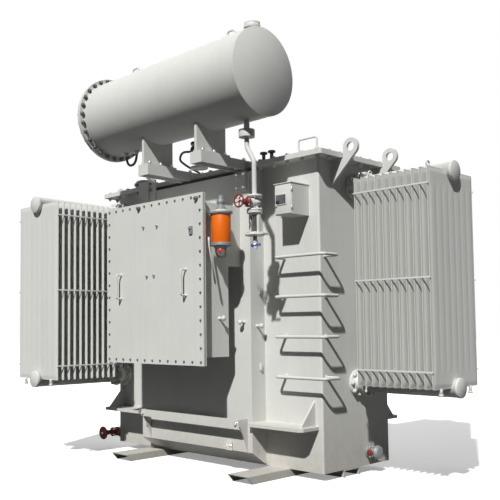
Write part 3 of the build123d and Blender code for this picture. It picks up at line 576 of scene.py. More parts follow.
def build_fastener_field():
    """A copy of the fastener on each point, stood along the point's turn and spun a little."""
    group, start, end = new_tree("fastener_field", FIELD_INPUTS)
    new, link = group.nodes.new, group.links.new
    thing = new("GeometryNodeObjectInfo")
    stand = new("GeometryNodeInputNamedAttribute")
    stand.data_type = "FLOAT_VECTOR"
    stand.inputs["Name"].default_value = "turn"
    place = new("GeometryNodeInstanceOnPoints")
    link(start.outputs["Fastener"], thing.inputs["Object"])
    link(start.outputs["Geometry"], place.inputs["Points"])
    link(thing.outputs["Geometry"], place.inputs["Instance"])
    link(stand.outputs["Attribute"], place.inputs["Rotation"])
    link(start.outputs["Size"], place.inputs["Scale"])
    angle = new("FunctionNodeRandomValue")
    angle.data_type = "FLOAT"
    link(start.outputs["Spin"], angle.inputs[3])
    link(start.outputs["Seed"], angle.inputs["Seed"])
    about = new("ShaderNodeCombineXYZ")
    link(angle.outputs[1], about.inputs["Z"])
    spin = new("GeometryNodeRotateInstances")
    link(place.outputs[0], spin.inputs["Instances"])
    link(about.outputs[0], spin.inputs["Rotation"])
    finish_tree(group, spin.outputs[0], start, end)
    return group


# %% The panel graph
ROW_INPUTS = (
    ("Panel", "Object"),
    ("Panels", "Int"),
    ("First", "Vector"),
    ("Pitch", "Vector"),
    ("Finish", "Material"),
)


def build_panel_row():
    """A number of panels in a row, each a pitch further out than the one before."""
    group, start, end = new_tree("panel_row", ROW_INPUTS)
    new, link = group.nodes.new, group.links.new
    thing, line = new("GeometryNodeObjectInfo"), new("GeometryNodeMeshLine")
    place = new("GeometryNodeInstanceOnPoints")
    link(start.outputs["Panel"], thing.inputs["Object"])
    link(start.outputs["Panels"], line.inputs["Count"])
    link(start.outputs["First"], line.inputs["Start Location"])
    link(start.outputs["Pitch"], line.inputs["Offset"])
    link(line.outputs[0], place.inputs["Points"])
    link(thing.outputs["Geometry"], place.inputs["Instance"])
    finish_tree(group, place.outputs[0], start, end)
    return group


# %% The two graphs
FASTENER_FIELD, PANEL_ROW = build_fastener_field(), build_panel_row()
print("graphs:", FASTENER_FIELD.name, "and", PANEL_ROW.name)


# %% Running a graph
def grown(carrier_mesh, group, values):
    """Runs a graph on a mesh with its named inputs set, and returns the plain mesh it grows."""
    carrier = bpy.data.objects.new("carrier", carrier_mesh)
    bpy.context.scene.collection.objects.link(carrier)
    modifier = carrier.modifiers.new("graph", "NODES")
    modifier.node_group = group
    for item in group.interface.items_tree:
        if item.in_out == "INPUT" and item.name in values:
            modifier[item.identifier] = values[item.name]
    depsgraph = bpy.context.evaluated_depsgraph_get()
    made = bpy.data.meshes.new_from_object(carrier.evaluated_get(depsgraph))
    bpy.data.objects.remove(carrier)
    return made


def repeat(name, bm, places, mat):
    """Sets copies of a bmesh, whose own up is +Z, at (point, axis) places."""
    one = bpy.data.objects.new(name + "_one", shaded(name + "_one", bm, 30))
    points = bpy.data.meshes.new(name + "_points")
    points.from_pydata([tuple(at) for at, _ in places], [], [])
    turn = points.attributes.new("turn", "FLOAT_VECTOR", "POINT")
    for k, (_, axis) in enumerate(places):
        turn.data[k].vector = basis(axis).to_euler()
    values = {"Fastener": one, "Size": 1.0, "Spin": math.tau / 6, "Seed": len(name), "Finish": mat}
    made = grown(points, FASTENER_FIELD, values)
    bpy.data.objects.remove(one)
    print(f"{name}: {len(places)} copies")
    dress(name, made, mat)


# %% Fasteners and where they go
def hexagon(across, head, washer=True, stud=0.0):
    """A hexagon head on a washer, with a stud end above it if it is a nut. A few dozen faces."""
    bm = bmesh.new()
    base = 0.0
    if washer:
        base = across * 0.09
        lathe(bm, (0, 0, 0), UP, [(across * 0.62, 0), (across * 0.60, base)], 16)
    r = across / math.sqrt(3)
    lathe(bm, (0, 0, 0), UP, [(r, base), (r, base + head * 0.82), (r * 0.88, base + head)], 6)
    if stud:
        lathe(bm, (0, 0, base + head), UP, [(across * 0.3, 0), (across * 0.27, stud)], 8)
    return bm


def ring_of(count, at, axis, radius, start=0.0):
    """Places on a bolt circle, all pointing along axis."""
    spin, places = basis(axis), []
    for k in range(count):
        a = start + math.tau * k / count
        at_bolt = Vector(at) + spin @ Vector((radius * math.cos(a), radius * math.sin(a), 0))
        places.append((at_bolt, Vector(axis)))
    return places


def row_of(count, start, end, axis):
    """Places at an even pitch from start to end, all pointing along axis."""
    start, end = Vector(start), Vector(end)
    return [(start.lerp(end, k / (count - 1)), Vector(axis)) for k in range(count)]


def corners(node_name):
    """The two corners of a solid's box, as vectors."""
    low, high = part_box(node_name)
    return Vector(low), Vector(high)


# %% [markdown]
# ## Radiators
# Oil cools in flat panels, each pressed from two thin sheets that are seam-welded round the edge.
# A flat channel runs along top and bottom and vertical flutes join them. Displacing a plane would
# give soft flutes, and modelling each panel by hand would be slow, so one panel is built from a
# rule, its thickness as a function of place, and the panel graph repeats it eleven times. Two
# header pipes carry the panels, with a flanged valve at the tank and a welded cap outside.


# %% The rule of a pressed panel
PANELS, PITCH, FLUTES = 11, 0.050, 7
SEAM, BAND, THICK = 0.0016, 0.085, 0.0065
MARGIN, FADE, CORNER = 0.018, 0.04, 0.006
EDGE_ROWS = [0, 0.004, 0.012, 0.022, 0.035, BAND, BAND + 0.012, BAND + 0.025, BAND + FADE]


def smooth_step(t):
    """0 below 0, 1 above 1, and a smooth step between them."""
    t = max(0.0, min(1.0, t))
    return t * t * (3 - 2 * t)


def bulge(x, z, width, height):
    """Half a panel's thickness at a place on it: the seam, a channel or a flute."""
    half, wave = width / 2, 0
    flute = (width - 2 * MARGIN) / FLUTES
    if abs(x) < half - MARGIN:
        wave = 0.45 + 0.55 * abs(math.sin(math.pi * (x + half - MARGIN) / flute)) ** 0.6
    along = smooth_step((min(z, height - z) - BAND) / FADE)
    full = (1 - along) * THICK * 0.85 + along * (SEAM + (THICK - SEAM) * wave)
    rise = smooth_step((min(half - abs(x), z, height - z) - 0.008) / 0.014)
    return SEAM + rise * (full - SEAM)


def squeeze(z, width, height):
    """How much narrower a row of points is near the panel's rounded corners."""
    near = min(z, height - z)
    if near >= CORNER:
        return 1.0
    cut = CORNER - math.sqrt(max(0, CORNER**2 - (CORNER - near) ** 2))
    return (width / 2 - cut) / (width / 2)


# %% One pressed panel
def pressed_panel(width, height):
    """A panel across X and up Z, its faces towards +Y and -Y."""
    bm = bmesh.new()
    half = width / 2
    flute = (width - 2 * MARGIN) / FLUTES
    xs = [-half, -half + MARGIN / 2]
    xs += [-half + MARGIN + flute * k / 8 for k in range(FLUTES * 8 + 1)]
    xs += [half - MARGIN / 2, half]
    zs = EDGE_ROWS + [height / 3, height / 2, height * 2 / 3]
    zs += [height - z for z in reversed(EDGE_ROWS)]
    sheets = []
    for side in (-1, 1):
        grid = []
        for z in zs:
            narrow = squeeze(z, width, height)
            row = [(x * narrow, side * bulge(x, z, width, height), z) for x in xs]
            grid.append([bm.verts.new(place) for place in row])
        sheets.append(grid)
        for first, second in zip(grid, grid[1:]):
            for k in range(len(xs) - 1):
                quad = (first[k], first[k + 1], second[k + 1], second[k])
                bm.faces.new(quad if side < 0 else quad[::-1])
    front, back = sheets
    right = ([row[-1] for row in front], [row[-1] for row in back])
    left = ([row[0] for row in back], [row[0] for row in front])
    for a, b in (right, left):
        for k in range(len(a) - 1):
            bm.faces.new((a[k], b[k], b[k + 1], a[k + 1]))
    for row_front, row_back, flip in ((front[0], back[0], 1), (front[-1], back[-1], -1)):
        for k in range(len(xs) - 1):
            quad = (row_front[k], row_back[k], row_back[k + 1], row_front[k + 1])
            bm.faces.new(quad[::flip])
    return bm


# %% Where the four radiators stand
OUTWARD = {"right_end": RIGHT, "left_end": LEFT, "front_left": FRONT, "rear_right": BACK}
STRAP_DEEP, PANEL_HALF = 0.006, 0.008
banks = {}
for side, out in OUTWARD.items():
    out = Vector(out)
    across = Vector(UP).cross(out)
    low, high = corners("radiator_panels_" + side)
    middle = (low + high) / 2
    depth = abs((high - low).dot(out))
    width = abs((high - low).dot(across)) - 2 * STRAP_DEEP
    first = middle - out * (depth / 2 - PANEL_HALF)
    first.z = low.z
    banks[side] = {
        "out": out,
        "across": across,
        "middle": middle,
        "first": first,
        "depth": depth,
        "width": width,
        "height": high.z - low.z,
    }
    print(f"{side}: {width:.3f} m wide, {depth:.3f} m deep")

# %% Panels in a row
for side, bank in banks.items():
    out = bank["out"]
    bm = pressed_panel(bank["width"], bank["height"])
    turn = Matrix.Rotation(math.atan2(out.y, out.x) - math.pi / 2, 4, "Z")
    bmesh.ops.transform(bm, matrix=turn, verts=bm.verts)
    panel = bpy.data.objects.new("panel_" + side, shaded("panel_" + side, bm, 50))
    row = {
        "Panel": panel,
        "Panels": PANELS,
        "First": bank["first"],
        "Pitch": out * PITCH,
        "Finish": paint,
    }
    stack = grown(bpy.data.meshes.new("row_" + side), PANEL_ROW, row)
    bpy.data.objects.remove(panel)
    dress("radiator_" + side, stack, paint, instead=("radiator_panels_" + side,))
    print(f"radiator_{side}: {PANELS} panels, {bank['height']:.3f} m tall")

# %% Straps that hold the panels apart
STRAP_LEVELS, STRAP_HALF = (-0.54, 0, 0.54), 0.005
for side, bank in banks.items():
    across, middle, width = bank["across"], bank["middle"], bank["width"]
    straps = bmesh.new()
    spread = Vector(map(abs, bank["out"] * bank["depth"] / 2 + across * STRAP_DEEP / 2))
    for level in STRAP_LEVELS:
        z = middle.z + level
        for hand in (-1, 1):
            face = middle + across * hand * (width / 2 + STRAP_DEEP / 2)
            lows, highs = face - spread, face + spread
            block(straps, (*lows.xy, z - STRAP_HALF), (*highs.xy, z + STRAP_HALF), 0.001)
    piece("radiator_straps_" + side, straps, paint)
print(2 * len(STRAP_LEVELS), "straps on each radiator")


# %% Profile of a header pipe
def header_profile(reach):
    """Wall flange, neck of the butterfly valve, outer flange, pipe and cap."""
    return [
        (0.082, 0), (0.085, 0.003), (0.085, 0.015), (0.082, 0.018),
        (0.062, 0.0185), (0.061, 0.030), (0.052, 0.038),
        (0.052, 0.074), (0.061, 0.082), (0.062, 0.0915),
        (0.082, 0.092), (0.085, 0.095), (0.085, 0.107), (0.082, 0.110),
        (0.057, 0.1105), (0.057, reach - 0.020),
        (0.0595, reach - 0.018), (0.0595, reach - 0.001), (0.0585, reach),
    ]


# %% Headers with their valves
HEADER_IN, PAST = 0.085, 0.03
WALL_FACE, OUTER_FACE, PORT_RING = 0.018, 0.110, 0.072
headers, squares, port_bolts = bmesh.new(), bmesh.new(), []
for side, bank in banks.items():
    out, depth = bank["out"], bank["depth"]
    low, high = corners("radiator_headers_" + side)
    reach = abs((high - low).dot(out))
    for level in (low.z + HEADER_IN, high.z - HEADER_IN):
        axis_at = Vector((*bank["middle"].xy, level))
        wall = axis_at - out * (depth / 2 + reach - depth - PAST)
        lathe(headers, wall, out, header_profile(reach), 64)
        port_bolts += ring_of(8, wall + out * OUTER_FACE, out, PORT_RING, math.pi / 8)
        port_bolts += ring_of(8, wall + out * WALL_FACE, out, PORT_RING)
        torus(headers, wall + out * (OUTER_FACE + 0.002), out, 0.0575, 0.004, 48, 8)
        torus(headers, wall + out * (reach - 0.012), out, 0.0565, 0.004, 48, 8)
        stem_at = wall + out * 0.055 + Vector((0, 0, 0.048))
        disc(squares, stem_at, UP, 0.014, 0.024, 0.002, 32)
        disc(squares, stem_at + Vector((0, 0, 0.024)), UP, 0.010, 0.014, 0.002, 4)
header_nodes = tuple("radiator_headers_" + side for side in OUTWARD)
piece("headers", headers, paint, sharp=30, instead=header_nodes)
piece("valve_squares", squares, zinc)
repeat("port_bolts", hexagon(0.024, 0.013), port_bolts, paint)

# %% Drain plugs and lifting tabs
PLUG_AT, TAB_AT = 0.17, -0.16
plugs, tabs = [], bmesh.new()
for bank in banks.values():
    out, across, first = bank["out"], bank["across"], bank["first"]
    for k in (0, PANELS - 1):
        foot = first + out * PITCH * k + Vector((0, 0, 0.004))
        plugs += [(foot + across * hand * PLUG_AT, Vector(DOWN)) for hand in (-1, 1)]
    # a tab with a round eye on the second panel and on the last but one
    for k in (1, PANELS - 2):
        at = first + out * PITCH * k + Vector((0, 0, bank["height"])) + across * TAB_AT
        torus(tabs, at + Vector((0, 0, 0.030)), out, 0.017, 0.0055, 28, 8)
        spread = Vector(map(abs, across)) * 0.014
        lows, highs = at - Vector((0.006, 0.006, 0.012)), at + Vector((0.006, 0.006, 0.016))
        block(tabs, lows - spread, highs + spread, 0.001)
piece("radiator_tabs", tabs, paint)
plug = bmesh.new()
disc(plug, (0, 0, 0), UP, 0.010, 0.030, 0.002, 24)
disc(plug, (0, 0, 0.030), UP, 0.015, 0.016, 0.002, 6)
repeat("radiator_plugs", plug, plugs, paint)

# %% [markdown]
# ## Conservator
# The conservator is a rolled steel drum that gives the oil room to expand. One end is a plate
# welded flush, the other is bolted through a flange so that the drum can be opened. The solids
# have the drum, so this step adds what catches the eye: the ring of nuts and bolt heads, the weld
# beads, the grip of the filler cap with its dark seal, and the bolts of the saddles. Rings of
# fasteners come from the graph, because their number and pitch are the rule of the thing.


# %% Flange fasteners and seams
DRUM, RING, FLANGE = 0.272, 0.289, 0.014
shell_low, shell_high = corners("conservator_shell")
cons = (shell_low + shell_high) / 2
flange_at = (shell_low.x + FLANGE, cons.y, cons.z)
nuts = ring_of(28, flange_at, RIGHT, RING)
heads = ring_of(28, (corners("conservator_end_cover")[0].x, cons.y, cons.z), LEFT, RING)
seams = bmesh.new()
torus(seams, (flange_at[0] + 0.001, cons.y, cons.z), RIGHT, DRUM + 0.001, 0.005, 96, 6)
piece("conservator_seams", seams, paint)
repeat("conservator_nuts", hexagon(0.024, 0.014, stud=0.006), nuts, dark_steel)
repeat("conservator_heads", hexagon(0.024, 0.010), heads, dark_steel)

# %% Welded end plate
end_plate = bmesh.new()
end_at = (shell_high.x - 0.009, cons.y, cons.z)
disc(end_plate, end_at, RIGHT, DRUM + 0.0006, 0.0095, 0.0015, 128)
piece("conservator_end", end_plate, paint_fresh)

# %% Filler cap
GRIP_PROFILE = [
    (0.050, 0), (0.0515, 0.003), (0.0515, 0.022),
    (0.047, 0.033), (0.030, 0.0375), (0.012, 0.0385),
]
RIBS, RIB_OUT = 20, 0.0505
cap_low, cap_high = corners("filler_cap")
cap_at = (cap_low + cap_high) / 2
grip = bmesh.new()
lathe(grip, (cap_at.x, cap_at.y, cap_high.z - 0.036), UP, GRIP_PROFILE, 64)
for k in range(RIBS):
    a = math.tau * k / RIBS
    x, y = cap_at.x + RIB_OUT * math.cos(a), cap_at.y + RIB_OUT * math.sin(a)
    at = Vector((x, y, cap_high.z - 0.033))
    tube(grip, [at, at + Vector((0, 0, 0.018))], 0.0022, 6)
piece("filler_grip", grip, paint_fresh)
neck = bmesh.new()
disc(neck, (cap_at.x, cap_at.y, cap_low.z + 0.001), UP, 0.0455, 0.019, 0.002, 56)
piece("filler_seal", neck, rubber)

# %% Saddle bolts
FOOT_THICK = 0.012
saddle_bolts = []
for side in ("left", "right"):
    low, high = corners("conservator_saddle_" + side)
    under_low, under_high = corners("conservator_bracket_" + side)
    for y in (low.y + 0.03, low.y + 0.13, high.y - 0.03):
        for x in (low.x + 0.018, high.x - 0.018):
            saddle_bolts.append((Vector((x, y, under_high.z + FOOT_THICK)), Vector(UP)))
    for y in (under_high.y - 0.03, under_high.y - 0.15):
        for x in (under_low.x + 0.02, under_high.x - 0.02):
            saddle_bolts.append((Vector((x, y, under_high.z)), Vector(UP)))
repeat("saddle_bolts", hexagon(0.024, 0.014, stud=0.005), saddle_bolts, zinc)

# %% [markdown]
# ## Tank, cover and their bolts
# The cover is clamped to the tank's flange by a bolt every 12 cm or so, with a nut underneath.
# Where the bay passes behind the flange there is no room for a nut. Plates of the tank are welded,
# and a fillet weld shows as a slightly uneven bead in every inner corner, which tells the eye how
# thick the steel is. A bump map can't change an outline, so the beads are thin tubes.


# %% Places round the cover
RIM_IN, ALONG, ASIDE = 0.028, 19, 7
cover_low, cover_high = corners("tank_cover")
flange_low = corners("tank_flange")[0]
bay_front, bay_rear = corners("tank_bay_front"), corners("tank_bay_rear")
ring_places = []
for y in (cover_low.y + RIM_IN, cover_high.y - RIM_IN):
    ring_places += row_of(ALONG, (cover_low.x + 0.05, y, 0), (cover_high.x - 0.05, y, 0), UP)
for x in (cover_low.x + RIM_IN, cover_high.x - RIM_IN):
    ring_places += row_of(ASIDE, (x, cover_low.y + 0.12, 0), (x, cover_high.y - 0.12, 0), UP)
print(len(ring_places), "places round the cover")

# %% Bolts above and nuts below
above, under = [], []
brackets = [corners("conservator_bracket_" + side) for side in ("left", "right")]
for at, _ in ring_places:
    if not any(lo.x - 0.02 < at.x < hi.x + 0.02 and lo.y < at.y < hi.y for lo, hi in brackets):
        above.append((Vector((at.x, at.y, cover_high.z)), Vector(UP)))
    in_bay = abs(at.x) < bay_front[1].x + 0.03 and abs(at.y) > 0.3
    if not in_bay:
        under.append((Vector((at.x, at.y, flange_low.z)), Vector(DOWN)))
repeat("cover_bolts", hexagon(0.024, 0.013), above, paint)
repeat("cover_nuts", hexagon(0.024, 0.014, stud=0.008), under, paint)

# %% Weld beads of the bays and the flange
welds = bmesh.new()
tank_low, tank_high = corners("tank_body")
for lo, hi, wall in ((*bay_front, tank_low.y), (*bay_rear, tank_high.y)):
    for x in (lo.x, hi.x):
        bead(welds, [(x, wall, lo.z + 0.01), (x, wall, hi.z - 0.03)])
z = flange_low.z
for y in (tank_low.y, tank_high.y):
    for x0, x1 in ((tank_low.x, bay_front[0].x), (bay_front[1].x, tank_high.x)):
        bead(welds, [(x0, y, z), (x1, y, z)], 0.004)
for x in (tank_low.x, tank_high.x):
    bead(welds, [(x, tank_low.y, z), (x, tank_high.y, z)], 0.004)
print("beads in the corners of the bays and under the flange")

# %% Weld beads of the jacking pads and the lifting lugs
PAD_IN, PAD_OUT, GUSSET = 0.56, 0.995, 0.963
pad_top = corners("jacking_pads")[0].z + 0.020
for hand in (-1, 1):
    inner, gusset = hand * PAD_IN, hand * GUSSET
    for wall, away in ((tank_low.y, -1), (tank_high.y, 1)):
        start = (inner, wall, pad_top)
        bead(welds, [start, (hand * PAD_OUT, wall, pad_top)], 0.005)
        bead(welds, [start, (inner, wall + away * 0.17, pad_top)], 0.005)
        for x in (gusset - 0.007, gusset + 0.007):
            bead(welds, [(x, wall, pad_top), (x, wall + away * 0.14, pad_top)])
            bead(welds, [(x, wall, pad_top), (x, wall, pad_top + 0.155)])
for end, wall in (("left", tank_low.x), ("right", tank_high.x)):
    low, high = corners("lifting_lugs_" + end)
    for y in (low.y, low.y + 0.02, high.y - 0.02, high.y):
        bead(welds, [(wall, y, low.z + 0.005), (wall, y, low.z + 0.155)], 0.004)
piece("tank_welds", welds, paint)

# %% Welds of the step rungs
rung_feet = bmesh.new()
for k in range(1, 5):
    low, high = corners(f"step_rung_{k}")
    z = (low.z + high.z) / 2
    torus(rung_feet, (low.x + 0.010, tank_low.y - 0.001, z), BACK, 0.0115, 0.004, 24, 8)
    torus(rung_feet, (tank_high.x + 0.001, high.y - 0.010, z), RIGHT, 0.0115, 0.004, 24, 8)
piece("rung_welds", rung_feet, paint)

# %% [markdown]
# ## Cable box
# The box covers the bushings. Its lid is a flat plate held by small screws all round, with two
# larger clamps, a latch, two pull handles and four stubs. A thin black strip round the lid's edge
# is painted shade for the gap behind it. The screws follow the edge at an even pitch, so four rows
# of points are enough for the graph.


# %% Lid screws
EDGE, PER_SIDE = 0.024, 13
plate_low, plate_high = corners("cable_box_cover")
face = plate_low.y
left, right = plate_low.x + EDGE, plate_high.x - EDGE
foot, top = plate_low.z + EDGE, plate_high.z - EDGE
screws = []
for z in (foot, top):
    screws += row_of(PER_SIDE, (left, face, z), (right, face, z), FRONT)
for x in (left, right):
    screws += row_of(PER_SIDE, (x, face, foot), (x, face, top), FRONT)[1:-1]
repeat("box_screws", hexagon(0.013, 0.007, washer=False), screws, dark_steel)
clamps = [(plate_high.x - 0.055, top - 0.012), (plate_low.x + 0.36, top - 0.010)]
clamps = [(Vector((x, face, z)), Vector(FRONT)) for x, z in clamps]
repeat("box_clamps", hexagon(0.026, 0.014, stud=0.008), clamps, dark_steel)

# %% Stubs and latch
# where the photograph shows them on the lid, as x and z
STUBS = ((-0.060, 1.635), (0.082, 1.630), (-0.025, 1.299), (0.049, 1.301))
LATCH = (0.416, 1.571)
STUB_PROFILE = [
    (0.0075, 0), (0.0075, 0.004), (0.005, 0.006),
    (0.005, 0.011), (0.007, 0.013), (0.006, 0.016),
]
nubs = bmesh.new()
for x, z in STUBS:
    lathe(nubs, (x, face + 0.001, z), FRONT, STUB_PROFILE, 20)
latch_at = Vector((LATCH[0], face, LATCH[1]))
latch_low, latch_high = Vector((-0.014, -0.012, -0.026)), Vector((0.014, 0.001, 0.026))
block(nubs, latch_at + latch_low, latch_at + latch_high, 0.003)
disc(nubs, latch_at + Vector((0, -0.012, 0.010)), FRONT, 0.009, 0.012, 0.002, 20)
piece("box_nubs", nubs, dull_grey)

# %% Feet of the handles
FOOT_PROFILE = [(0.011, 0), (0.011, 0.003), (0.0075, 0.007), (0.0075, 0.012)]
ROD_R = 0.006
feet = bmesh.new()
low, high = corners("cable_box_handles")
for x in (low.x + ROD_R, high.x - ROD_R):
    for z in (low.z + ROD_R, high.z - ROD_R):
        lathe(feet, (x, face + 0.001, z), FRONT, FOOT_PROFILE, 24)
piece("handle_feet", feet, paint)

# %% Painted shade of the gap round the lid
# A thin black strip behind the lid's edge, a fraction of a millimetre proud of it, is painted shade
# for the gap between lid and box.
PROUD, STRIP, GAP_SHADE_HALF = 0.0006, 0.004, 0.0015
gap_shade_strip = bmesh.new()
x0, x1, z0, z1 = plate_low.x, plate_high.x, plate_low.z, plate_high.z
for left, foot, right, top in (
    (x0 - PROUD, z0 - PROUD, x1 + PROUD, z0 + STRIP),
    (x0 - PROUD, z1 - STRIP, x1 + PROUD, z1 + PROUD),
    (x0 - PROUD, z0, x0 + STRIP, z1),
    (x1 - STRIP, z0, x1 + PROUD, z1),
):
    front, back = plate_high.y - GAP_SHADE_HALF, plate_high.y + GAP_SHADE_HALF
    block(gap_shade_strip, (left, front, foot), (right, back, top), 0)
piece("box_gasket", gap_shade_strip, rubber)

# %% [markdown]
# ## Instrument box
# A sheet-steel box holds the temperature indicator behind a small window. It has a folded rain
# lip, a door with a thin gap round it, hinges and a turn lock, all slight reliefs of a few
# millimetres on the solid box. The window is a separate pane with its own glossy finish.


# %% Door, rain lip and window
WINDOW_X, WINDOW_Z, FRAME = (0.818, 0.909), (1.713, 1.784), 0.006
box_low, box_high = corners("instrument_box")
front = box_low.y
door = bmesh.new()
door_low = (box_low.x + 0.004, front - 0.006, box_low.z + 0.004)
door_high = (box_high.x - 0.004, front + 0.001, box_high.z - 0.004)
block(door, door_low, door_high, 0.003)
lip_low = (box_low.x - 0.004, front - 0.012, box_high.z - 0.002)
lip_high = (box_high.x + 0.004, box_high.y, box_high.z + 0.004)
block(door, lip_low, lip_high, 0.002)
frame_low = (WINDOW_X[0], front - 0.011, WINDOW_Z[0])
frame_high = (WINDOW_X[1], front - 0.004, WINDOW_Z[1])
block(door, frame_low, frame_high, 0.003)
piece("instrument_door", door, paint_fresh)
pane = bmesh.new()
pane_low = (WINDOW_X[0] + FRAME, front - 0.0125, WINDOW_Z[0] + FRAME)
pane_high = (WINDOW_X[1] - FRAME, front - 0.008, WINDOW_Z[1] - FRAME)
block(pane, pane_low, pane_high, 0.001)
piece("instrument_window", pane, dark_glass)

# %% Hinges and lock
hinges = bmesh.new()
hinge_x, hinge_y = box_high.x + 0.001, front - 0.004
for z in (box_low.z + 0.03, box_high.z - 0.05):
    tube(hinges, [(hinge_x, hinge_y, z), (hinge_x, hinge_y, z + 0.025)], 0.005, 12)
lock_at = (box_low.x + 0.016, front - 0.006, box_low.z + 0.06)
disc(hinges, lock_at, FRONT, 0.009, 0.010, 0.002, 24)
piece("instrument_fittings", hinges, zinc)


# %% [markdown]
# ## Handwheels
# A cast wheel has a round rim with finger grips, a dished hub and curved spokes that give a little
# as the casting cools. The solid wheel is flat, so a torus with a wave along it makes the rim and
# bent rods make the spokes. Each wheel rides on the body that turns, on the spindle's own axis.


# %% Parts of a cast wheel
HUB_PROFILE = [(0.0085, 0), (0.011, 0.002), (0.011, 0.009), (0.0095, 0.013), (0.0085, 0.016)]
SPOKE_R, BEND, DISH = 0.0034, 0.16, 0.002


def spoke(at, radius, angle):
    """The line of a spoke, from hub to rim, bent sideways and dished."""
    out = Vector((math.cos(angle), 0, math.sin(angle)))
    side = Vector((-math.sin(angle), 0, math.cos(angle)))
    return [
        at + out * radius * t + side * radius * BEND * math.sin(math.pi * t)
        + Vector((0, -DISH * (1 - t), 0))
        for t in (0.16, 0.3, 0.45, 0.6, 0.75, 0.9)
    ]


def web_profile(inner):
    """A thin dished plate from the hub to the rim, as (radius, along) pairs."""
    return [
        (0.004, -0.0015), (0.012, -0.0015), (inner, 0.001),
        (inner, 0.004), (0.012, 0.0015), (0.004, 0.0015),
    ]


# %% Cast handwheels
def cast_wheel(name, radius, body, rim, spokes, web=False):
    """A cast wheel in the place of a flat one, its spokes open or joined by a thin web."""
    low, high = corners(name)
    at = (low + high) / 2
    bm = bmesh.new()
    torus(bm, at, FRONT, radius - rim, rim, 72, 12, lobes=10, depth=0.10)
    for k in range(spokes):
        tube(bm, spoke(at, radius, math.tau * k / spokes + math.pi / 4), SPOKE_R, 10)
    lathe(bm, (at.x, high.y, at.z), FRONT, HUB_PROFILE, 32)
    if web:
        lathe(bm, at, FRONT, web_profile(radius - rim), 48)
    piece(name + "_cast", bm, maroon, body, instead=(name,))
    nut = hexagon(0.012, 0.005)
    for vert in nut.verts:
        vert.co = Vector((at.x + vert.co.x, low.y - vert.co.z, at.z + vert.co.y))
    piece(name + "_nut", nut, zinc, body)
    print(f"{name}: {spokes} spokes on the body {body}")


cast_wheel("valve_handwheel", 0.042, "valve_wheel", 0.0052, 5)
cast_wheel("drain_handwheel", 0.052, "drain_wheel", 0.0075, 6, web=True)

# %% [markdown]
# ## Gate valve, sight glass and cock
# The conservator's drain line has a cast gate valve, a sight glass in a slotted frame and a small
# cock with a blue lever. Castings swell and neck in smooth steps, so their outline is written as
# radius and height pairs and turned on the lathe. The lever rides on its own body.


# %% Profiles of the gate valve
DRAIN_X, DRAIN_Y = 0.847, -0.760
GATE_PROFILE = [
    (0.045, 0), (0.048, 0.002), (0.048, 0.012), (0.045, 0.014),
    (0.030, 0.016), (0.024, 0.024), (0.027, 0.034),
    (0.036, 0.044), (0.038, 0.051), (0.036, 0.058),
    (0.027, 0.067), (0.024, 0.076), (0.030, 0.084),
    (0.045, 0.086), (0.048, 0.088), (0.048, 0.098), (0.045, 0.100),
]
NOSE_PROFILE = [
    (0.030, 0.0), (0.030, 0.030), (0.023, 0.038), (0.020, 0.046),
    (0.029, 0.049), (0.029, 0.056), (0.022, 0.058),
]
BONNET_PROFILE = [
    (0.029, 0.0565), (0.030, 0.058), (0.030, 0.065), (0.022, 0.068),
    (0.015, 0.078), (0.013, 0.088),
    (0.017, 0.090), (0.017, 0.098), (0.012, 0.100),
]
SPINDLE_R, SPINDLE_END = 0.0049, -0.1495

# %% Gate valve
foot = Vector((DRAIN_X, DRAIN_Y, corners("gate_valve")[0].z))
centre = foot + Vector((0, 0, 0.050))
valve = bmesh.new()
lathe(valve, foot, UP, GATE_PROFILE, 56)
lathe(valve, centre, FRONT, NOSE_PROFILE, 48)
piece("valve_body", valve, paint_fresh, instead=("gate_valve",))
bonnet = bmesh.new()
lathe(bonnet, centre, FRONT, BONNET_PROFILE, 48)
piece("valve_bonnet", bonnet, maroon)
spindle = bmesh.new()
line = [centre + Vector((0, y, 0)) for y in (-0.095, -0.120, SPINDLE_END)]
tube(spindle, line, SPINDLE_R, 20)
piece("valve_spindle", spindle, zinc)
bonnet_bolts = ring_of(4, centre + Vector((0, -0.065, 0)), FRONT, 0.0235, math.pi / 4)
repeat("bonnet_bolts", hexagon(0.010, 0.005, washer=False), bonnet_bolts, zinc)
line_bolts = ring_of(4, foot + Vector((0, 0, 0.014)), UP, 0.037, math.pi / 4)
line_bolts += ring_of(4, foot + Vector((0, 0, 0.086)), DOWN, 0.037, math.pi / 4)
repeat("valve_bolts", hexagon(0.012, 0.007, washer=False), line_bolts, zinc)

# %% Sight glass
LOW_FLANGE = [
    (0.057, 0), (0.060, 0.003), (0.060, 0.011),
    (0.057, 0.014), (0.028, 0.014), (0.026, 0.024),
]
HIGH_FLANGE = [
    (0.026, 0), (0.030, 0.008), (0.046, 0.010),
    (0.048, 0.012), (0.048, 0.022), (0.046, 0.024),
]
GLASS_PROFILE = [(0.019, 0), (0.020, 0.002), (0.020, 0.104), (0.019, 0.106)]
POST_OUT, POST_HALF = 0.032, 0.008
base = Vector((DRAIN_X, DRAIN_Y, corners("sight_glass")[0].z))
sight = bmesh.new()
lathe(sight, base, UP, LOW_FLANGE, 56)
lathe(sight, base + Vector((0, 0, 0.126)), UP, HIGH_FLANGE, 56)
for hand in (-1, 1):
    post_low = base + Vector((hand * POST_OUT - POST_HALF, -0.012, 0.012))
    post_high = base + Vector((hand * POST_OUT + POST_HALF, 0.012, 0.138))
    block(sight, post_low, post_high, 0.004)
block(sight, base + Vector((0.02, -0.030, 0.001)), base + Vector((0.088, 0.030, 0.013)), 0.003)
piece("sight_frame", sight, paint_fresh, instead=("sight_glass",))
glass = bmesh.new()
lathe(glass, base + Vector((0, 0, 0.022)), UP, GLASS_PROFILE, 40)
piece("sight_tube", glass, dark_glass)
sight_bolts = ring_of(6, base + Vector((0, 0, 0.014)), UP, 0.048, 0.3)
repeat("sight_bolts", hexagon(0.012, 0.007, washer=False), sight_bolts, zinc)

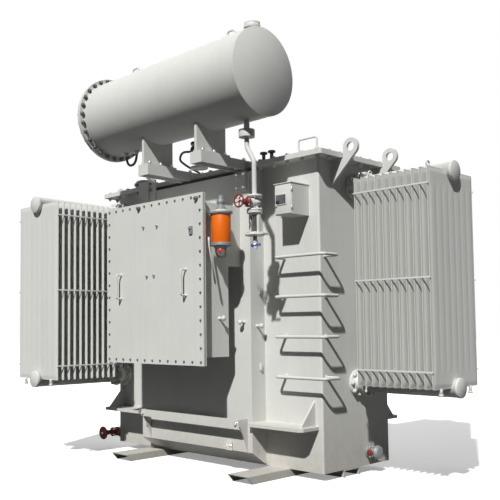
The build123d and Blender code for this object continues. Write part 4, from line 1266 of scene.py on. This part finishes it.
# %% Cock
COCK_PROFILE = [
    (0.011, 0), (0.013, 0.002), (0.013, 0.008), (0.018, 0.012),
    (0.020, 0.020), (0.018, 0.030), (0.014, 0.036),
    (0.019, 0.038), (0.019, 0.048), (0.013, 0.050), (0.012, 0.080),
]
COCK_FOOT, COCK_MID = 1.424, 1.444
cock = bmesh.new()
lathe(cock, (DRAIN_X, DRAIN_Y, COCK_FOOT), UP, COCK_PROFILE, 32)
cock_mid = Vector((DRAIN_X, DRAIN_Y, COCK_MID))
tube(cock, [cock_mid + Vector((0, y, 0)) for y in (0, -0.015, -0.029)], 0.0048, 20)
piece("cock_body", cock, zinc, instead=("drain_cock",))

# %% Lever of the cock
# it widens from the hub in the first part of its length, in short blocks that overlap a little
STEPS, GRIP_FROM, GRIP_LONG, LAP = 12, 0.008, 0.0588, 0.0003
lever = bmesh.new()
at = Vector((DRAIN_X, -0.785, COCK_MID))
disc(lever, at + Vector((0, 0.004, 0)), FRONT, 0.0108, 0.008, 0.001, 32)
for k in range(STEPS):
    t0, t1 = k / STEPS, (k + 1) / STEPS
    x0, x1 = at.x + GRIP_FROM + GRIP_LONG * t0, at.x + GRIP_FROM + GRIP_LONG * t1
    half = 0.0052 + 0.0018 * smooth_step(t0 * 1.4)
    grip_low = (x0, at.y - 0.0024, at.z - half)
    block(lever, grip_low, (x1 + LAP, at.y + 0.0024, at.z + half), 0.0008)
piece("cock_grip", lever, blue, "lever", instead=("cock_lever",))

# %% Union of the drain pipe
UNION_TOP, UNION_R, UNION_TALL = (0.789, -0.760, 2.166), 0.0502, 0.014
union = bmesh.new()
for z in (-0.003, -0.0225):
    disc(union, Vector(UNION_TOP) + Vector((0, 0, z)), DOWN, UNION_R, UNION_TALL, 0.004, 48)
for z in (0.0005, -0.041):
    torus(union, Vector(UNION_TOP) + Vector((0, 0, z)), UP, 0.020, 0.004, 40, 8)
piece("union_rings", union, paint_fresh)

# %% [markdown]
# ## Breather
# Air on its way to the conservator dries in an orange canister, between two rolled rims, under a
# lid with a cone and a ball, and bubbles through a small oil cup below. All of it is round, so all
# of it is turned, each finish as its own piece.


# %% Canister
CANISTER_R = 0.0595
body_low, body_high = corners("breather_body")
hub = (body_low + body_high) / 2
tall = body_high.z - body_low.z
wall_profile = [
    (0.058, 0), (CANISTER_R, 0.002), (CANISTER_R, 0.012), (0.0618, 0.018),
    (0.0618, tall - 0.018), (CANISTER_R, tall - 0.012),
    (CANISTER_R, tall - 0.002), (0.058, tall),
]
canister = bmesh.new()
lathe(canister, (hub.x, hub.y, body_low.z), UP, wall_profile, 72)
piece("breather_canister", canister, orange, instead=("breather_body",))

# %% Rims and lid
LID_PROFILE = [
    (0.0735, 0), (0.0755, 0.003), (0.0735, 0.010),
    (0.0500, 0.0135), (0.0400, 0.020), (0.0300, 0.036), (0.0220, 0.050),
    (0.0160, 0.056), (0.0190, 0.060), (0.0240, 0.070), (0.0245, 0.078),
    (0.0210, 0.088), (0.0135, 0.094), (0.0135, 0.112),
]
lid = bmesh.new()
for z in (body_low.z + 0.004, body_high.z - 0.004):
    torus(lid, (hub.x, hub.y, z), UP, 0.0615, 0.0055, 72, 12)
lathe(lid, (hub.x, hub.y, body_high.z + 0.001), UP, LID_PROFILE, 64)
piece("breather_lid", lid, dull_grey)

# %% Oil cup
CUP_PROFILE = [
    (0.018, 0), (0.026, 0.003), (0.034, 0.012),
    (0.039, 0.030), (0.040, 0.056), (0.040, 0.071),
]
PLATE_PROFILE = [(0.060, 0), (0.066, 0.002), (0.068, 0.006), (0.066, 0.0115), (0.060, 0.012)]
COLLAR_PROFILE = [(0.043, 0), (0.045, 0.002), (0.045, 0.011), (0.043, 0.013)]
cup_low, cup_high = corners("breather_cup")
oil = bmesh.new()
lathe(oil, (hub.x, hub.y, cup_low.z), UP, CUP_PROFILE, 56)
piece("breather_oil_cup", oil, cup, instead=("breather_cup",))
holder = bmesh.new()
lathe(holder, (hub.x, hub.y, cup_high.z - 0.012), UP, PLATE_PROFILE, 64)
lathe(holder, (hub.x, hub.y, cup_high.z - 0.024), UP, COLLAR_PROFILE, 56)
piece("breather_foot", holder, dull_grey)

# %% Red spots of the cup, and the tie
TIE = [(0.528, -0.842, 1.520), (0.526, -0.838, 1.470), (0.532, -0.790, 1.225)]
SPOT_FACES = (0.5, -0.86, 0)
spots = bmesh.new()
spot_at = (hub.x + 0.021, hub.y - 0.034, cup_low.z + 0.040)
disc(spots, spot_at, SPOT_FACES, 0.014, 0.004, 0.001, 32)
disc(spots, (hub.x, hub.y, cup_low.z - 0.0005), UP, 0.017, 0.004, 0.001, 32)
piece("breather_level_mark", spots, red)
tie = bmesh.new()
tube(tie, rounded(TIE, 0.02), 0.006, 14)
piece("breather_tie", tie, paint_fresh)

# %% [markdown]
# ## Fittings on the cover
# Three black fittings stand on the cover: the relief device, a spring-loaded dome that opens if
# the pressure rises, the two thermometer pockets, and the gas relay in the pipe to the conservator
# with a round window on each side. They are enamelled castings, turned like the valve.


# %% Relief device
DOME_PROFILE = [
    (0.060, 0), (0.060, 0.012), (0.035, 0.014), (0.035, 0.036),
    (0.082, 0.040), (0.085, 0.044), (0.085, 0.056),
    (0.076, 0.064), (0.066, 0.078), (0.040, 0.086), (0.016, 0.0885), (0.010, 0.090),
]
low, high = corners("pressure_relief")
at = (low + high) / 2
dome = bmesh.new()
lathe(dome, (at.x, at.y, low.z), UP, DOME_PROFILE, 64)
piece("relief_dome", dome, black, instead=("pressure_relief",))
relief_bolts = ring_of(6, (at.x, at.y, low.z + 0.012), UP, 0.048)
repeat("relief_bolts", hexagon(0.014, 0.008, washer=False), relief_bolts, zinc)

# %% Thermometer pockets
POCKET_PROFILE = [
    (0.018, 0), (0.018, 0.010), (0.012, 0.012), (0.012, 0.048),
    (0.024, 0.050), (0.026, 0.053), (0.026, 0.060), (0.023, 0.064), (0.012, 0.066),
]
POCKET_R = 0.026
low, high = corners("thermometer_pockets")
pockets = bmesh.new()
for x in (low.x + POCKET_R, high.x - POCKET_R):
    lathe(pockets, (x, (low.y + high.y) / 2, low.z), UP, POCKET_PROFILE, 40)
piece("pocket_heads", pockets, black, instead=("thermometer_pockets",))

# %% Gas relay
RELAY_PROFILE = [
    (0.058, 0), (0.060, 0.002), (0.060, 0.012), (0.058, 0.014),
    (0.042, 0.016), (0.040, 0.030), (0.048, 0.044),
    (0.048, 0.076), (0.040, 0.090), (0.042, 0.104),
    (0.058, 0.106), (0.060, 0.108), (0.060, 0.118), (0.058, 0.120),
]
EYE_PROFILE = [(0.032, 0), (0.032, 0.022), (0.029, 0.0285)]
RELAY_R, EYE_UP = 0.060, 0.060
relay_low, relay_high = corners("gas_relay")
x, y = relay_low.x + RELAY_R, (relay_low.y + relay_high.y) / 2
eye_z = relay_low.z + EYE_UP
relay, panes = bmesh.new(), bmesh.new()
lathe(relay, (x, y, relay_low.z), UP, RELAY_PROFILE, 56)
case_low = (x + 0.020, y - 0.034, relay_low.z + 0.026)
block(relay, case_low, (relay_high.x - 0.003, y + 0.034, relay_low.z + 0.094), 0.005)
for hand in (-1, 1):
    lathe(relay, (x, y + hand * 0.030, eye_z), (0, hand, 0), EYE_PROFILE, 40)
    disc(panes, (x, y + hand * 0.0575, eye_z), (0, hand, 0), 0.022, 0.002, 0.0005, 36)
piece("relay_body", relay, black, instead=("gas_relay",))
piece("relay_windows", panes, dark_glass)
relay_bolts = ring_of(8, (x, y, relay_low.z + 0.014), UP, 0.050, 0.2)
relay_bolts += ring_of(8, (x, y, relay_high.z - 0.014), DOWN, 0.050, 0.2)
repeat("relay_bolts", hexagon(0.012, 0.006, washer=False), relay_bolts, zinc)

# %% [markdown]
# ## Low fittings
# Near the ground there are a drain valve with a red casting on the left end, a sampling valve on
# the right end and, up the front, small plugs with round heads, cable clips and a bolted patch
# plate. They are minor, but without them the big painted faces look empty.


# %% Drain valve
DRAIN_AT, DRAIN_WALL = (-1.125, -0.310, 0.110), -1.025
BARREL_PROFILE = [
    (0.050, 0.0), (0.050, 0.016), (0.026, 0.020), (0.024, 0.040),
    (0.026, 0.052), (0.036, 0.056), (0.036, 0.066), (0.030, 0.070),
    (0.034, 0.088), (0.036, 0.102), (0.033, 0.118), (0.026, 0.130), (0.014, 0.1355),
]
THROAT_PROFILE = [
    (0.030, 0), (0.030, 0.034), (0.036, 0.036), (0.036, 0.046),
    (0.024, 0.050), (0.018, 0.066), (0.016, 0.084),
    (0.0195, 0.086), (0.0195, 0.096), (0.012, 0.098),
]
drain_at = Vector(DRAIN_AT)
spigot = bmesh.new()
lathe(spigot, (DRAIN_WALL, drain_at.y, drain_at.z), LEFT, BARREL_PROFILE, 56)
lathe(spigot, drain_at, FRONT, THROAT_PROFILE, 48)
piece("drain_casting", spigot, maroon, instead=("drain_valve",))
stem = bmesh.new()
line = [drain_at + Vector((0, y, 0)) for y in (-0.09, -0.12, SPINDLE_END)]
tube(stem, line, SPINDLE_R, 20)
piece("drain_spindle", stem, zinc)

# %% Bolts of the drain and sampling valves
tap_low, tap_high = corners("sampling_valve")
tap = (tap_low + tap_high) / 2
drain_bolts = ring_of(6, (DRAIN_WALL - 0.016, drain_at.y, drain_at.z), LEFT, 0.040)
drain_bolts += ring_of(4, drain_at + Vector((0, -0.046, 0)), FRONT, 0.029, math.pi / 4)
drain_bolts += ring_of(6, (tap_low.x + 0.014, tap.y, tap.z), RIGHT, 0.033)
repeat("drain_bolts", hexagon(0.013, 0.007, washer=False), drain_bolts, zinc)

# %% Sampling valve
TAP_PROFILE = [
    (0.042, 0), (0.044, 0.002), (0.044, 0.012), (0.042, 0.014),
    (0.022, 0.017), (0.020, 0.026), (0.027, 0.034), (0.027, 0.048), (0.020, 0.056),
    (0.042, 0.060), (0.044, 0.062), (0.044, 0.072),
    (0.036, 0.075), (0.036, 0.085), (0.030, 0.086),
]
NECK_PROFILE = [(0.016, 0.018), (0.016, 0.034), (0.010, 0.036), (0.008, 0.046)]
KNOB_PROFILE = [(0.012, 0.0425), (0.020, 0.044), (0.0205, 0.052), (0.012, 0.054)]
tap_mid = Vector((tap_low.x + 0.041, tap.y, tap.z))
tap_body = bmesh.new()
lathe(tap_body, (tap_low.x, tap.y, tap.z), RIGHT, TAP_PROFILE, 48)
lathe(tap_body, tap_mid, FRONT, NECK_PROFILE, 32)
piece("sampling_casting", tap_body, dull_grey, instead=("sampling_valve",))
tap_knob = bmesh.new()
lathe(tap_knob, tap_mid, FRONT, KNOB_PROFILE, 32)
piece("sampling_knob", tap_knob, maroon)

# %% Plugs with round heads
PIN_PROFILE = [
    (0.012, 0), (0.012, 0.004), (0.008, 0.008), (0.008, 0.030),
    (0.014, 0.034), (0.0175, 0.042), (0.014, 0.052), (0.006, 0.055),
]
bay_y = bay_front[0].y
PINS = (
    ((0.471, -0.700, 1.010), RIGHT),
    ((0.500, bay_y, 0.985), FRONT),
    ((0.560, -0.440, 0.960), RIGHT),
)
pins = bmesh.new()
for at, axis in PINS:
    lathe(pins, Vector(at) - Vector(axis) * 0.001, axis, PIN_PROFILE, 32)
piece("plug_pins", pins, paint_fresh)

# %% Cable clips and patch plate
CLIPS, CLIP_X, CLIP_Y, CLIP_HALF = (1.190, 0.690), (0.559, 0.574), (-0.420, -0.402), 0.022
clips = bmesh.new()
for z in CLIPS:
    clip_low = (CLIP_X[0], CLIP_Y[0], z - CLIP_HALF)
    block(clips, clip_low, (CLIP_X[1], CLIP_Y[1], z + CLIP_HALF), 0.003)
piece("bay_clips", clips, paint)
patch = bmesh.new()
patch_at = Vector((0.480, bay_y, 1.930))
patch_low, patch_high = Vector((-0.045, -0.006, -0.075)), Vector((0.055, 0.001, 0.060))
block(patch, patch_at + patch_low, patch_at + patch_high, 0.004)
piece("bay_patch", patch, paint_fresh)

# %% Bolts of the patch and the haulage beam
patch_bolts = []
for z in (0.040, -0.050):
    for x in (-0.025, 0.035):
        patch_bolts.append((patch_at + Vector((x, -0.006, z)), Vector(FRONT)))
low, high = corners("haulage_beam")
for x in (low.x + 0.02, high.x - 0.022):
    patch_bolts.append((Vector((x, low.y, (low.z + high.z) / 2)), Vector(FRONT)))
repeat("patch_bolts", hexagon(0.022, 0.012), patch_bolts, zinc)

# %% [markdown]
# ## Cable and conduits under the conservator
# The level gauge's cable hangs in one short loop between two glands. A limp cable between two
# points sags in a smooth line, so its own line is a NURBS curve of a few points with a round bevel.
# The relay's wires run in rigid black conduits, bent once or twice and standing on the cover.


# %% Route of the gauge cable
CABLE_D = 0.018
cable_low, cable_high = corners("gauge_cable")
loop_y, loop_top, loop_foot = cons.y, cable_high.z - 0.002, cable_low.z - 0.003
left_x, right_x = cable_low.x + CABLE_D / 2, cable_high.x - CABLE_D / 2
route = [
    (left_x, loop_y, loop_top),
    (left_x, loop_y, loop_foot),
    (right_x, loop_y, loop_foot),
    (right_x, loop_y, loop_top),
]
print("gauge_lead: loop of", round(right_x - left_x, 3), "m")

# %% Gauge cable
curve = bpy.data.curves.new("gauge_lead", "CURVE")
curve.dimensions = "3D"
curve.bevel_depth, curve.bevel_resolution = CABLE_D / 2, 4
curve.resolution_u = 24
spline = curve.splines.new("NURBS")
spline.points.add(len(route) - 1)
for point, at in zip(spline.points, route):
    point.co = (*at, 1)
spline.order_u = 3
spline.use_endpoint_u = True
curve.materials.append(rubber)
lead = bpy.data.objects.new("gauge_lead", curve)
bpy.context.scene.collection.objects.link(lead)
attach(lead, BODY)
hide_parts("gauge_cable")
print("gauge_lead: ends at", route[0], "and", route[-1])

# %% Glands
GLAND_PROFILE = [(0.017, 0), (0.017, 0.008), (0.014, 0.010), (0.0105, 0.028), (0.0102, 0.030)]
glands = bmesh.new()
for x in (left_x, right_x):
    lathe(glands, (x, loop_y, cable_high.z + 0.001), DOWN, GLAND_PROFILE, 28)
piece("cable_glands", glands, dull_grey)

# %% Conduits
CONDUIT_R, CONDUIT_BEND = 0.008, 0.05
deck = cover_high.z
right_run = [
    (0.238, -0.570, 2.150),
    (0.285, -0.572, 2.150),
    (0.300, -0.560, 2.110),
    (0.310, -0.500, deck + 0.012),
    (0.340, -0.400, deck + 0.009),
    (0.420, -0.300, deck + 0.009),
]
left_run = [
    (0.110, -0.598, 2.172),
    (0.060, -0.640, 2.172),
    (0.030, -0.640, 2.120),
    (0.030, -0.560, 2.085),
    (0.020, -0.430, deck + 0.010),
    (-0.060, -0.340, deck + 0.009),
]
conduits, sockets = bmesh.new(), bmesh.new()
for path in (right_run, left_run):
    tube(conduits, rounded(path, CONDUIT_BEND, 8), CONDUIT_R, 14)
    last = Vector(path[-1])
    disc(sockets, last + Vector((0, 0, -0.011)), UP, 0.017, 0.020, 0.003, 28)
    disc(sockets, last + Vector((0, 0, 0.009)), UP, 0.013, 0.008, 0.002, 6)
piece("relay_conduits", conduits, black)
piece("conduit_sockets", sockets, dull_grey)

# %% [markdown]
# ## Measure and finish
# The box that the dressed part fills, floor aside, is measured and printed.


# %% Measure and finish
low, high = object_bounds()
print("visual box:", [round(v, 3) for v in (*low, *high)])
